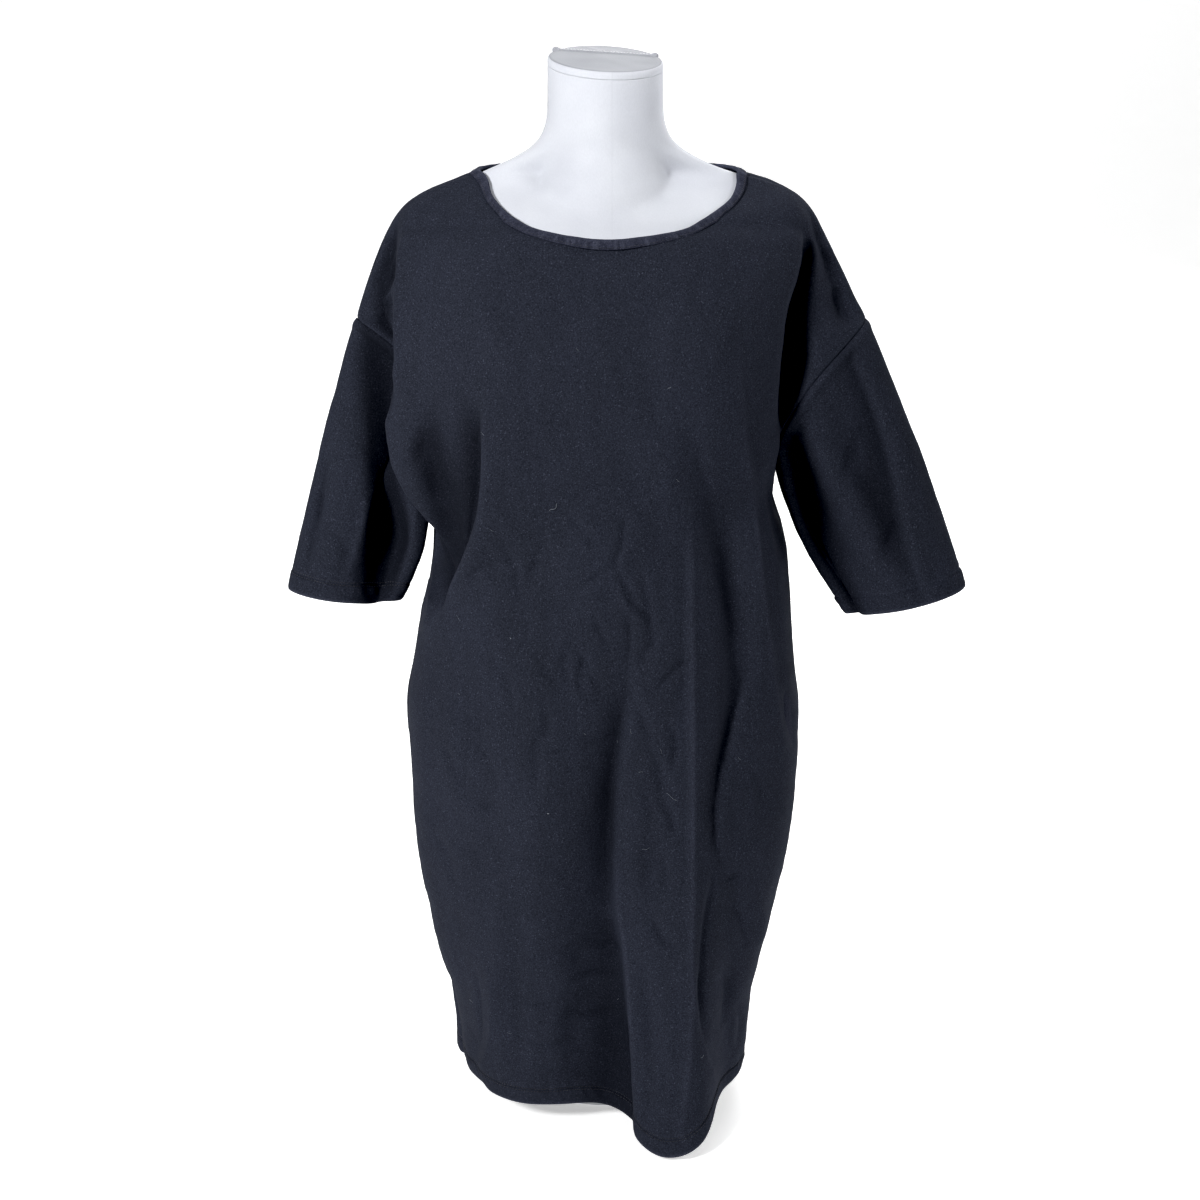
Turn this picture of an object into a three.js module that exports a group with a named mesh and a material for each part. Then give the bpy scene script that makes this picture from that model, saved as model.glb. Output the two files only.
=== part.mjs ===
// Sweatshirt dress with a boat neck, dropped shoulders and elbow sleeves, hanging on a limbless
// dress form. Millimetres, +Z up. The floor is z = 0, the front faces -Y and +X is to the right
// of someone who looks at the front.
import * as THREE from 'three';

// ---- Driving sizes of the cloth ----
const CLOTH = 1.8;            // thickness of the brushed cotton
const SEAM_GAP = 0.7;         // clear width between two sewn pieces
const UNDERARM_EASE = 1;      // extra clear width where the armhole turns under the arm
const SHOULDER_POINT = 966;   // height where the shoulder seam meets the neckline
const CHEST = 820;            // below this height the rows of a panel are level
const ARMHOLE_TOP = 826;
const UNDERARM = 698;
const HEM = 30;
const BAND_WIDTH = 9;         // turned edge of the neckline
const BAND_PROBE = 8;         // drop of the rows between which the band's width is measured
const BAND_CLOTH = 1.2;
const BAND_GAP = 0.8;         // between the turned edge and the panel that it lies on

// ---- Driving sizes of the form and its stand ----
const FORM_INSET = 2.2;       // cloth and clearance between the dress's outside and the form
const BLEND_POWER = 14;       // how crisply the neck grows out of the shoulders
const POLE_Y = 18;            // the pole stands a little behind the middle
const BASE_Y = 42;            // and the base reaches further back
const POLE_RADIUS = 16;
const BASE_RADIUS = 98;
const BASE_THICK = 8;
const REST_GAP = 0.3;         // clear width between the stand's pieces

// Body of the dress, a row for each height: reach to the left, right, front and back.
const BODY = [
  { z: 30, left: 150, right: 147, front: 107, back: 113 },
  { z: 75, left: 155, right: 152, front: 111, back: 115 },
  { z: 120, left: 161, right: 155, front: 116, back: 117 },
  { z: 165, left: 174, right: 163, front: 121, back: 119 },
  { z: 210, left: 181, right: 172, front: 127, back: 121 },
  { z: 300, left: 191, right: 188, front: 137, back: 125 },
  { z: 390, left: 198, right: 195, front: 144, back: 128 },
  { z: 435, left: 199, right: 194, front: 145, back: 128 },
  { z: 480, left: 190, right: 188, front: 144, back: 126 },
  { z: 540, left: 180, right: 183, front: 141, back: 121 },
  { z: 583, left: 172, right: 181, front: 139, back: 116 },
  { z: 624, left: 169, right: 173, front: 137, back: 112 },
  { z: 665, left: 165, right: 161, front: 136, back: 109 },
  { z: 700, left: 168, right: 165, front: 137, back: 106 },
  { z: 745, left: 168, right: 168, front: 136, back: 104 },
  { z: 796, left: 180, right: 180, front: 131, back: 104 },
  { z: 826, left: 240, right: 252, front: 125, back: 103 },
  { z: 843, left: 235, right: 242, front: 121, back: 102 },
  { z: 862, left: 228, right: 233, front: 115, back: 101 },
  { z: 885, left: 219, right: 221, front: 109, back: 98 },
  { z: 900, left: 213, right: 213, front: 104, back: 95 },
  { z: 915, left: 205, right: 205, front: 98, back: 91 },
  { z: 929, left: 196, right: 197, front: 82, back: 87 },
  { z: 938, left: 186, right: 189, front: 67, back: 84 },
  { z: 948, left: 168, right: 175, front: 46, back: 77 },
  { z: 957, left: 147, right: 154, front: 28, back: 67 },
  { z: 966, left: 119, right: 125, front: 15, back: 50 },
];

// Where the five column lines of a half panel stand between side (1) and centre (0), and how
// square its level sections are there (2 is an ellipse).
const SECTION = {
  skirt: { share: [0.38, 0.66, 0.80, 0.90], square: 2.5 },
  shoulder: { share: [0.24, 0.42, 0.56, 0.78], square: 2 },
};

const TUCK_CLEAR = 10;        // body rows nearer than this to the tuck's rows give way to them

// The cloth tucks back between the body and each dropped shoulder. A row for each height gives
// bust, body crest, valley and arm crest, each as reach from the middle and depth.
const FRONT_TUCK = {
  left: [
    { z: 612, bust: [106, 119], crest: [163, 76], valley: [172, 50], arm: [169, 25] },
    { z: 645, bust: [109, 122], crest: [176, 71], valley: [173, 47], arm: [167, 24] },
    { z: 674, bust: [112, 123], crest: [194, 68], valley: [172, 48], arm: [166, 24] },
    { z: 703, bust: [112, 124], crest: [206, 67], valley: [174, 46], arm: [168, 26] },
    { z: 745, bust: [111, 125], crest: [210, 67], valley: [184, 46], arm: [174, 41] },
    { z: 780, bust: [110, 123], crest: [209, 66], valley: [184, 44], arm: [179, 38] },
    { z: 799, bust: [110, 122], crest: [207, 65], valley: [186, 37], arm: [190, 30] },
    { z: 820, bust: [110, 119], crest: [204, 62], valley: [191, 28], arm: [208, 29] },
    { z: 843, bust: [109, 116], crest: [201, 59], valley: [200, 24], arm: [217, 26] },
    { z: 880, bust: [108, 106], crest: [194, 50], valley: [201, 33], arm: [211, 19] },
    { z: 912, bust: [104, 93], crest: [187, 44], valley: [194, 28], arm: [200, 14] },
  ],
  right: [
    { z: 660, bust: [98, 118], crest: [150, 72], valley: [163, 44], arm: [162, 20] },
    { z: 700, bust: [100, 120], crest: [160, 70], valley: [166, 41], arm: [164, 20] },
    { z: 720, bust: [102, 122], crest: [163, 69], valley: [168, 43], arm: [168, 36] },
    { z: 745, bust: [103, 123], crest: [162, 69], valley: [171, 14], arm: [175, 37] },
    { z: 768, bust: [104, 122], crest: [162, 69], valley: [174, 0], arm: [186, 43] },
    { z: 796, bust: [106, 121], crest: [163, 69], valley: [177, -2], arm: [196, 43] },
    { z: 835, bust: [108, 117], crest: [166, 67], valley: [178, 2], arm: [195, 37] },
    { z: 873, bust: [108, 108], crest: [176, 61], valley: [184, 14], arm: [197, 31] },
    { z: 912, bust: [104, 94], crest: [181, 49], valley: [191, 26], arm: [198, 16] },
  ],
};
const BACK_TUCK = {
  left: [
    { z: 665, bust: [98, 94], crest: [150, 62], valley: [163, 38], arm: [165, 18] },
    { z: 703, bust: [100, 94], crest: [156, 60], valley: [166, 36], arm: [167, 21] },
    { z: 720, bust: [102, 94], crest: [159, 61], valley: [170, 36], arm: [172, 32] },
    { z: 745, bust: [104, 94], crest: [161, 62], valley: [173, 26], arm: [181, 40] },
    { z: 796, bust: [108, 95], crest: [168, 62], valley: [182, 22], arm: [206, 48] },
    { z: 843, bust: [108, 94], crest: [172, 58], valley: [186, 21], arm: [214, 40] },
    { z: 885, bust: [108, 91], crest: [172, 52], valley: [188, 24], arm: [206, 26] },
    { z: 912, bust: [104, 86], crest: [170, 46], valley: [188, 26], arm: [200, 15] },
  ],
  right: [
    { z: 665, bust: [98, 94], crest: [149, 62], valley: [161, 38], arm: [162, 18] },
    { z: 703, bust: [99, 94], crest: [155, 60], valley: [164, 36], arm: [165, 21] },
    { z: 720, bust: [100, 94], crest: [158, 61], valley: [168, 36], arm: [170, 32] },
    { z: 745, bust: [102, 94], crest: [161, 62], valley: [173, 26], arm: [182, 40] },
    { z: 796, bust: [106, 95], crest: [166, 62], valley: [179, 22], arm: [211, 49] },
    { z: 843, bust: [108, 94], crest: [170, 58], valley: [184, 20], arm: [217, 40] },
    { z: 885, bust: [108, 91], crest: [171, 52], valley: [187, 23], arm: [207, 27] },
    { z: 912, bust: [104, 86], crest: [169, 46], valley: [187, 26], arm: [200, 15] },
  ],
};

// Height of the neckline at the five column lines, from centre to shoulder seam, before the
// back's lift. The back of the neck sits higher, so back rows rise with their depth.
const NECKLINE = {
  front: {
    left: [914, 926.5, 946.5, 958.5, 964.7, SHOULDER_POINT],
    right: [914, 924.5, 942, 955, 964, SHOULDER_POINT],
  },
  back: {
    left: [954, 958, 961.5, 964, 965.3, SHOULDER_POINT],
    right: [954, 958, 961.5, 964, 965.3, SHOULDER_POINT],
  },
};
const BACK_LIFT = 0.1;

// Long folds of the front and back, a row each: where it runs (reach to the right at its top,
// middle and foot heights), how far it stands out (+) or tucks in (-) there, and its width
// on its left and right side. A flat above 2 gives the fold a broad top.
const FRONT_FOLDS = [
  { at: [-112, -140, -186], z: [770, 640, 470], out: [2, 9, 2], left: 13, right: 34 },
  { at: [-150, -159, -166], z: [730, 630, 545], out: [-2, -13, -2], left: 12, right: 13 },
  { at: [138, 156, 188], z: [710, 590, 400], out: [1, 8, 2], left: 16, right: 14 },
  { at: [116, 127, 128], z: [720, 560, 200], out: [-2, -8, -3], left: 12, right: 15 },
  { at: [92, 90, 78], z: [620, 330, 30], out: [1, 9, 16], left: 26, right: 18 },
  { at: [14, -4, -12], z: [520, 270, 60], out: [-1, -12, -5], left: 30, right: 22 },
  { at: [66, 60, 55], z: [330, 160, 30], out: [0, 16, 56], left: 36, right: 46, flat: 3 },
  { at: [-60, -70, -84], z: [480, 240, 30], out: [1, 6, 5], left: 34, right: 30 },
  { at: [-146, -147, -136], z: [260, 130, 30], out: [-1, -6, -8], left: 14, right: 12 },
];
const BACK_FOLDS = [
  { at: [-86, -92, -104], z: [800, 420, 30], out: [1, 9, 13], left: 26, right: 30 },
  { at: [-30, -24, -34], z: [640, 300, 30], out: [-1, -10, -13], left: 24, right: 24 },
  { at: [34, 42, 38], z: [700, 330, 30], out: [1, 8, 14], left: 26, right: 22 },
  { at: [96, 104, 92], z: [760, 360, 30], out: [-2, -8, -9], left: 22, right: 20 },
  { at: [-146, -150, -142], z: [300, 150, 30], out: [0, 4, 11], left: 18, right: 18 },
];
const FOLD_FADE = 50;         // height over which a fold dies out above its top
const FOLD_HOLD = 0.8;        // folds die out over this share of a column beside a panel's edge
const HEM_DIP = { at: 60, width: 44, depth: 25, fadesBy: 230 };

// Armholes: reach of the top and of the underarm, depth of the loop to front and back, and how
// fast the loop draws in below the shoulder.
const ARMHOLE = {
  left: { top: 241, under: 168, front: 37, back: 47, drawFront: 4, drawBack: 1.3 },
  right: { top: 252, under: 165, front: 44, back: 47, drawFront: 1.7, drawBack: 1.2 },
};

// Sleeves: outer and inner end of the cuff (reach, height), its half depth, how far the outer
// edge and the underarm edge bow out of a straight line, and how late the underarm's bow comes.
const SLEEVE = {
  left: { outer: [316, 556], inner: [203, 544], depth: 37, bowOuter: 3, bowInner: 8, late: 1.6 },
  right: { outer: [360, 558], inner: [239, 528], depth: 37, bowOuter: 4, bowInner: 12, late: 0.8 },
};
const SLEEVE_FOLDS = {
  left: [
    { turn: 0.66, width: 0.13, tuck: 15, from: 0.0, to: 1.15 },
    { turn: 0.30, width: 0.09, tuck: 4, from: 0.2, to: 1.0 },
  ],
  right: [
    { turn: 0.70, width: 0.12, tuck: 16, from: 0.0, to: 1.2 },
    { turn: 0.34, width: 0.10, tuck: 3, from: 0.1, to: 1.1 },
  ],
};

// Pocket bags hang inside the front, behind a mouth in each side seam.
const POCKET = {
  mouthTop: 545, mouthBottom: 398, bagBottom: 340, slope: 18, round: 0.7, cloth: 1.6, clear: 0.9,
};
const POCKET_COLUMNS = [4.5, 4, 11 / 3, 10 / 3, 3, 8 / 3, 7 / 3, 2];
const POCKET_ROWS = 6;

// Rows and columns of the panels.
const SKIRT_ROWS = 12;
const ARMHOLE_ROWS = 8;
const SHOULDER_LEVELS = [842, 860, 880, 898, 913, 927, 939, 949, 958, SHOULDER_POINT];
const FRONT_COLUMNS = [5, 4, 3, 3, 2];
const BACK_COLUMNS = [4, 3, 2, 2, 2];
const SLEEVE_ROWS = 8;

// The form below the shoulders, a row for each height, and its neck above them.
const TORSO = [
  { z: 262, side: 98, front: 64, back: 72 },
  { z: 268, side: 124, front: 84, back: 92 },
  { z: 290, side: 142, front: 97, back: 107 },
  { z: 340, side: 155, front: 104, back: 115 },
  { z: 400, side: 159, front: 107, back: 117 },
  { z: 460, side: 153, front: 101, back: 111 },
  { z: 540, side: 127, front: 90, back: 90 },
  { z: 620, side: 124, front: 98, back: 84 },
  { z: 690, side: 133, front: 115, back: 87 },
  { z: 745, side: 141, front: 127, back: 91 },
  { z: 796, side: 149, front: 121, back: 95 },
  { z: 843, side: 158, front: 112, back: 95 },
  { z: 885, side: 170, front: 101, back: 92 },
  { z: 912, side: 181, front: 89, back: 81 },
  { z: 920, side: 187, front: 81, back: 79 },
  { z: 929, side: 188, front: 74, back: 79 },
  { z: 938, side: 179, front: 62, back: 77 },
];
const NECK = [
  { z: 912, radius: 70, side: 260, front: 60, back: 60 },
  { z: 937, radius: 70, side: 230, front: 40, back: 55 },
  { z: 952, radius: 66, side: 180, front: 25, back: 50 },
  { z: 962, radius: 62, side: 130, front: 16, back: 47 },
  { z: 966, radius: 60, side: 115, front: 15, back: 46 },
  { z: 970, radius: 59, side: 104, front: 18, back: 46 },
  { z: 976, radius: 57, side: 90, front: 24, back: 47 },
  { z: 990, radius: 53, side: 67, front: 40, back: 49 },
  { z: 1005, radius: 51, side: 56, front: 49, back: 51 },
  { z: 1020, radius: 51, side: 52, front: 51, back: 51 },
  { z: 1062, radius: 51, side: 51, front: 51, back: 51 },
];
const FORM_LEVELS = [
  262, 268, 290, 340, 400, 460, 540, 620, 690, 745, 796, 843, 885, 905, 918,
  927, 935, 943, 950, 956, 961, 964, 969, 976, 990, 1005, 1020, 1045,
];
const NECK_TOP = 1062;
const CAP_THICK = 7;
const CAP_EDGE = 1.5;         // height of the cap's rounded edges
const CAP_TILT = 0.15;        // the cap leans to the front
const CAP_ROLL = -0.05;       // and a little to the right
const TORSO_COLUMNS = 36;
const SHOULDER_FOCUS = 0.5;   // below 1 gathers the form's columns towards its shoulders

// ---- Smooth curves through table values ----

// Slope at knot i of a curve through (x, y) that never overshoots its knots.
function knotSlope(x, y, i) {
  if (i === 0) return (y[1] - y[0]) / (x[1] - x[0]);
  const last = x.length - 1;
  if (i === last) return (y[last] - y[last - 1]) / (x[last] - x[last - 1]);
  const before = (y[i] - y[i - 1]) / (x[i] - x[i - 1]);
  const after = (y[i + 1] - y[i]) / (x[i + 1] - x[i]);
  if (before * after <= 0) return 0;
  return 2 * before * after / (before + after);
}

function curve(x, y, at) {
  const last = x.length - 1;
  const place = Math.min(Math.max(at, x[0]), x[last]);
  let i = 0;
  while (i < last - 1 && place > x[i + 1]) i += 1;
  const span = x[i + 1] - x[i];
  const s = (place - x[i]) / span;
  const a = (1 + 2 * s) * (1 - s) * (1 - s);
  const b = s * (1 - s) * (1 - s) * span;
  const c = s * s * (3 - 2 * s);
  const d = s * s * (s - 1) * span;
  return a * y[i] + b * knotSlope(x, y, i) + c * y[i + 1] + d * knotSlope(x, y, i + 1);
}

function column(table, name, z) {
  return curve(table.map((row) => row.z), table.map((row) => row[name]), z);
}

function fade(from, to, at) {
  const s = Math.min(Math.max((at - from) / (to - from), 0), 1);
  return s * s * (3 - 2 * s);
}

// Point at parameter u (0 to points.length - 1) on a curve through plan points, with knots
// spaced by the square root of their distance so that uneven points give no loops.
function throughPoints(points, u) {
  const last = points.length - 1;
  const i = Math.min(Math.floor(u), last - 1);
  const near = [i - 1, i, i + 1, i + 2].map((k) => points[Math.min(Math.max(k, 0), last)]);
  const knots = [0];
  for (let k = 0; k < 3; k += 1) {
    const step = Math.hypot(near[k + 1][0] - near[k][0], near[k + 1][1] - near[k][1]);
    knots.push(knots[k] + Math.max(Math.sqrt(step), 1e-3));
  }
  const t = knots[1] + (u - i) * (knots[2] - knots[1]);
  const mix = (a, b, t0, t1) => a.map((value, axis) => (
    (value * (t1 - t) + b[axis] * (t - t0)) / (t1 - t0)));
  const a1 = mix(near[0], near[1], knots[0], knots[1]);
  const a2 = mix(near[1], near[2], knots[1], knots[2]);
  const a3 = mix(near[2], near[3], knots[2], knots[3]);
  const b1 = mix(a1, a2, knots[0], knots[2]);
  const b2 = mix(a2, a3, knots[1], knots[3]);
  return mix(b1, b2, knots[1], knots[2]);
}

// ---- Armholes and side seams ----

const armholeMiddle = (ARMHOLE_TOP + UNDERARM) / 2;
const armholeHalf = (ARMHOLE_TOP - UNDERARM) / 2;

// Point on an armhole: turn 0 is the top, 0.5 the front, 1 the underarm and 1.5 the back.
function armholePoint(side, turn) {
  const hole = ARMHOLE[side];
  const atFront = turn <= 1;
  const cosine = Math.cos(turn * Math.PI);
  const draw = atFront ? hole.drawFront : hole.drawBack;
  const depth = atFront ? hole.front : hole.back;
  const reach = hole.under + (hole.top - hole.under) * ((1 + cosine) / 2) ** draw;
  const sign = side === 'left' ? -1 : 1;
  return [sign * reach, -depth * Math.sin(turn * Math.PI), armholeMiddle + armholeHalf * cosine];
}

// Plan point of a panel's edge at a height: side seam, armhole, then shoulder seam.
function edgePoint(face, side, z) {
  if (z > UNDERARM && z < ARMHOLE_TOP) {
    const turn = Math.acos((z - armholeMiddle) / armholeHalf) / Math.PI;
    const [x, y] = armholePoint(side, face === 'front' ? turn : 2 - turn);
    return [x, y];
  }
  const sign = side === 'left' ? -1 : 1;
  return [sign * column(BODY, side, z), 0];
}

// ---- Panels ----

const TUCK = { front: FRONT_TUCK, back: BACK_TUCK };
const FOLDS = { front: FRONT_FOLDS, back: BACK_FOLDS };
const LINES = ['bust', 'crest', 'valley', 'arm'];

// Rows of plan points for the four inner column lines of a half panel, at every table height.
function columnRows(face, side) {
  const tuck = TUCK[face][side];
  const lowest = tuck[0].z;
  const highest = tuck[tuck.length - 1].z;
  const isClear = (row) => row.z < lowest - TUCK_CLEAR || row.z > highest + TUCK_CLEAR;
  const plain = BODY.filter(isClear).map((row) => {
    const { share, square } = row.z < lowest ? SECTION.skirt : SECTION.shoulder;
    const made = { z: row.z };
    LINES.forEach((line, i) => {
      const angle = share[i] * Math.PI / 2;
      const across = Math.sin(angle) ** (2 / square);
      const deep = Math.cos(angle) ** (2 / square);
      made[line] = [row[side] * across, row[face] * deep];
    });
    return made;
  });
  return [...plain, ...tuck].sort((a, b) => a.z - b.z);
}

const ROWS = {
  front: { left: columnRows('front', 'left'), right: columnRows('front', 'right') },
  back: { left: columnRows('back', 'left'), right: columnRows('back', 'right') },
};

// The eleven plan points of a panel's level section, from the left edge to the right edge.
function sectionPoints(face, z) {
  const depthSign = face === 'front' ? -1 : 1;
  const half = (side) => {
    const sign = side === 'left' ? -1 : 1;
    const rows = ROWS[face][side];
    const heights = rows.map((row) => row.z);
    const inner = LINES.map((line) => [
      sign * curve(heights, rows.map((row) => row[line][0]), z),
      depthSign * curve(heights, rows.map((row) => row[line][1]), z),
    ]);
    return [...inner, edgePoint(face, side, z)];
  };
  const centre = [0, depthSign * column(BODY, face, z)];
  return [...half('left').reverse(), centre, ...half('right')];
}

// How far the folds of a panel move a point out.
function foldOut(face, x, z) {
  let out = 0;
  for (const fold of FOLDS[face]) {
    const heights = [...fold.z].reverse();
    const beside = x - curve(heights, [...fold.at].reverse(), z);
    const width = beside < 0 ? fold.left : fold.right;
    const strength = curve(heights, [...fold.out].reverse(), z);
    const above = 1 - fade(fold.z[0], fold.z[0] + FOLD_FADE, z);
    out += strength * above * Math.exp(-(Math.abs(beside / width) ** (fold.flat ?? 2)));
  }
  return out;
}

// Point on the outside of a panel. u runs from -5 (left edge) to 5 (right edge), and level is
// the height of the row at its edges.
function panelPoint(face, u, level) {
  const reach = Math.abs(u);
  let z = level;
  if (level > CHEST) {
    const neck = curve([0, 1, 2, 3, 4, 5], NECKLINE[face][u < 0 ? 'left' : 'right'], reach);
    z = CHEST + (level - CHEST) * (neck - CHEST) / (SHOULDER_POINT - CHEST);
  }
  const points = sectionPoints(face, z);
  let [x, y] = throughPoints(points, u + 5);
  const [x0, y0] = throughPoints(points, Math.max(u + 4.98, 0));
  const [x1, y1] = throughPoints(points, Math.min(u + 5.02, 10));
  const length = Math.hypot(x1 - x0, y1 - y0);
  const turned = face === 'front' ? 1 : -1;
  const edgeHold = fade(0, FOLD_HOLD, 5 - reach);
  const out = foldOut(face, x, z) * edgeHold;
  x += turned * out * (y1 - y0) / length;
  y -= turned * out * (x1 - x0) / length;
  if (face === 'back') z += BACK_LIFT * y * fade(CHEST, SHOULDER_POINT, level);
  if (face === 'front') {
    const dip = Math.exp(-(((x - HEM_DIP.at) / HEM_DIP.width) ** 2));
    z -= HEM_DIP.depth * dip * (1 - fade(HEM, HEM_DIP.fadesBy, level));
  }
  return [x, y, z];
}

function spaced(counts) {
  const half = [];
  counts.forEach((count, i) => {
    for (let k = 0; k < count; k += 1) half.push(i + k / count);
  });
  half.push(counts.length);
  return [...half.slice(1).reverse().map((u) => -u), ...half];
}

const skirtLevels = Array.from({ length: SKIRT_ROWS }, (_, i) => (
  HEM + (UNDERARM - HEM) * i / SKIRT_ROWS));
const armholeLevels = Array.from({ length: ARMHOLE_ROWS + 1 }, (_, i) => (
  armholeMiddle - armholeHalf * Math.cos(Math.PI * i / ARMHOLE_ROWS)));
const LEVELS = [...skirtLevels, ...armholeLevels, ...SHOULDER_LEVELS];

// Point on the flat facets between two rows of a panel, for what lies against it.
function facetPoint(face, u, level) {
  let r = 0;
  while (r < LEVELS.length - 2 && level > LEVELS[r + 1]) r += 1;
  const share = (level - LEVELS[r]) / (LEVELS[r + 1] - LEVELS[r]);
  const below = panelPoint(face, u, LEVELS[r]);
  const above = panelPoint(face, u, LEVELS[r + 1]);
  return below.map((value, axis) => value + (above[axis] - value) * share);
}

// Unit normals of a grid of points, pointing out of the dress.
function gridNormals(grid, flip) {
  const vector = (p) => new THREE.Vector3(...p);
  return grid.map((row, r) => row.map((_, c) => {
    const up = vector(grid[Math.min(r + 1, grid.length - 1)][c])
      .sub(vector(grid[Math.max(r - 1, 0)][c]));
    const along = vector(row[Math.min(c + 1, row.length - 1)])
      .sub(vector(row[Math.max(c - 1, 0)]));
    return along.cross(up).multiplyScalar(flip ? -1 : 1).normalize();
  }));
}

function moved(point, direction, distance) {
  return [
    point[0] + direction.x * distance,
    point[1] + direction.y * distance,
    point[2] + direction.z * distance,
  ];
}

// Closed wall between two grids of the same size. A ring's columns join up at the ends.
function wall(outer, inner, ring = false) {
  const rows = outer.length;
  const columns = outer[0].length;
  const positions = [];
  for (const grid of [outer, inner]) {
    for (const row of grid) {
      for (const point of row) positions.push(...point);
    }
  }
  const at = (layer, r, c) => (layer * rows + r) * columns + (c % columns);
  const index = [];
  const quad = (a, b, c, d) => index.push(a, b, c, a, c, d);
  const spans = ring ? columns : columns - 1;
  for (let c = 0; c < spans; c += 1) {
    for (let r = 0; r < rows - 1; r += 1) {
      quad(at(0, r, c), at(0, r, c + 1), at(0, r + 1, c + 1), at(0, r + 1, c));
      quad(at(1, r, c), at(1, r + 1, c), at(1, r + 1, c + 1), at(1, r, c + 1));
    }
    quad(at(0, 0, c), at(1, 0, c), at(1, 0, c + 1), at(0, 0, c + 1));
    const top = rows - 1;
    quad(at(0, top, c), at(0, top, c + 1), at(1, top, c + 1), at(1, top, c));
  }
  if (!ring) {
    for (let r = 0; r < rows - 1; r += 1) {
      quad(at(0, r, 0), at(0, r + 1, 0), at(1, r + 1, 0), at(1, r, 0));
      const end = columns - 1;
      quad(at(0, r, end), at(1, r, end), at(1, r + 1, end), at(0, r + 1, end));
    }
  }
  const geometry = new THREE.BufferGeometry();
  geometry.setAttribute('position', new THREE.Float32BufferAttribute(positions, 3));
  geometry.setIndex(index);
  geometry.computeVertexNormals();
  return geometry;
}

const PANEL_US = { front: spaced(FRONT_COLUMNS), back: spaced(BACK_COLUMNS) };

function panelGrid(face) {
  return LEVELS.map((level) => PANEL_US[face].map((u) => panelPoint(face, u, level)));
}

// ---- Sleeves ----

function cuffPoint(side, turn) {
  const sleeve = SLEEVE[side];
  const sign = side === 'left' ? -1 : 1;
  const share = (1 + Math.cos(turn * Math.PI)) / 2;
  const reach = sleeve.inner[0] + (sleeve.outer[0] - sleeve.inner[0]) * share;
  const z = sleeve.inner[1] + (sleeve.outer[1] - sleeve.inner[1]) * share;
  return [sign * reach, -sleeve.depth * Math.sin(turn * Math.PI), z];
}

// Point on the outside of a sleeve: drop is 0 at the armhole and 1 at the cuff.
function sleevePoint(side, turn, drop) {
  const sleeve = SLEEVE[side];
  const sign = side === 'left' ? -1 : 1;
  const from = armholePoint(side, turn);
  const to = cuffPoint(side, turn);
  const point = from.map((value, axis) => value + (to[axis] - value) * drop);
  const cosine = Math.cos(turn * Math.PI);
  const bow = Math.sin(Math.PI * drop);
  point[0] += sign * sleeve.bowOuter * bow * Math.max(cosine, 0) ** 2;
  const bowUnder = Math.sin(Math.PI * drop ** sleeve.late);
  point[0] -= sign * sleeve.bowInner * bowUnder * Math.max(-cosine, 0) ** 2;
  for (const fold of SLEEVE_FOLDS[side]) {
    const strength = Math.sin(Math.PI * fade(fold.from, fold.to, drop));
    const beside = (turn - fold.turn) / fold.width;
    point[1] += fold.tuck * strength * Math.exp(-beside * beside);
  }
  return point;
}

const SLEEVE_TURNS = Array.from({ length: 2 * ARMHOLE_ROWS }, (_, i) => i / ARMHOLE_ROWS);

function sleeveGrid(side) {
  const drops = Array.from({ length: SLEEVE_ROWS + 1 }, (_, i) => i / SLEEVE_ROWS);
  return drops.map((drop) => SLEEVE_TURNS.map((turn) => sleevePoint(side, turn, drop)));
}

function ringNormals(grid, flip) {
  const closed = grid.map((row) => [row[row.length - 1], ...row, row[0]]);
  return gridNormals(closed, flip).map((row) => row.slice(1, -1));
}

// Directions of the cloth along an armhole, one pair for each turn: the normal is halfway
// between the sleeve's and the panels' and square to the seam, and the other runs from the
// seam into the sleeve.
function seamFrames(side) {
  const sum = ringNormals(sleeveGrid(side), side === 'left')[0];
  for (const face of ['front', 'back']) {
    const normals = gridNormals(panelGrid(face), face === 'back');
    const edge = side === 'left' ? 0 : PANEL_US[face].length - 1;
    for (let k = 0; k <= ARMHOLE_ROWS; k += 1) {
      const row = SKIRT_ROWS + ARMHOLE_ROWS - k;
      const turn = face === 'front' ? k : (2 * ARMHOLE_ROWS - k) % (2 * ARMHOLE_ROWS);
      sum[turn].add(normals[row][edge]);
    }
  }
  const count = SLEEVE_TURNS.length;
  const frames = sum.map((normal, k) => {
    const before = new THREE.Vector3(...armholePoint(side, SLEEVE_TURNS[(k + count - 1) % count]));
    const after = new THREE.Vector3(...armholePoint(side, SLEEVE_TURNS[(k + 1) % count]));
    const along = after.sub(before).normalize();
    normal.addScaledVector(along, -normal.dot(along)).normalize();
    const intoSleeve = along.cross(normal).multiplyScalar(side === 'left' ? 1 : -1);
    return { normal, intoSleeve };
  });
  // At the ends of the side and shoulder seams the directions are the mean of those beside.
  for (const k of [0, ARMHOLE_ROWS]) {
    const before = frames[(k + count - 1) % count];
    const after = frames[k + 1];
    frames[k].normal.addVectors(before.normal, after.normal).normalize();
    frames[k].intoSleeve.addVectors(before.intoSleeve, after.intoSleeve).normalize();
  }
  return frames;
}

const SEAM_FRAMES = { left: seamFrames('left'), right: seamFrames('right') };

function reversed(grid) {
  return grid.map((row) => [...row].reverse());
}

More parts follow.
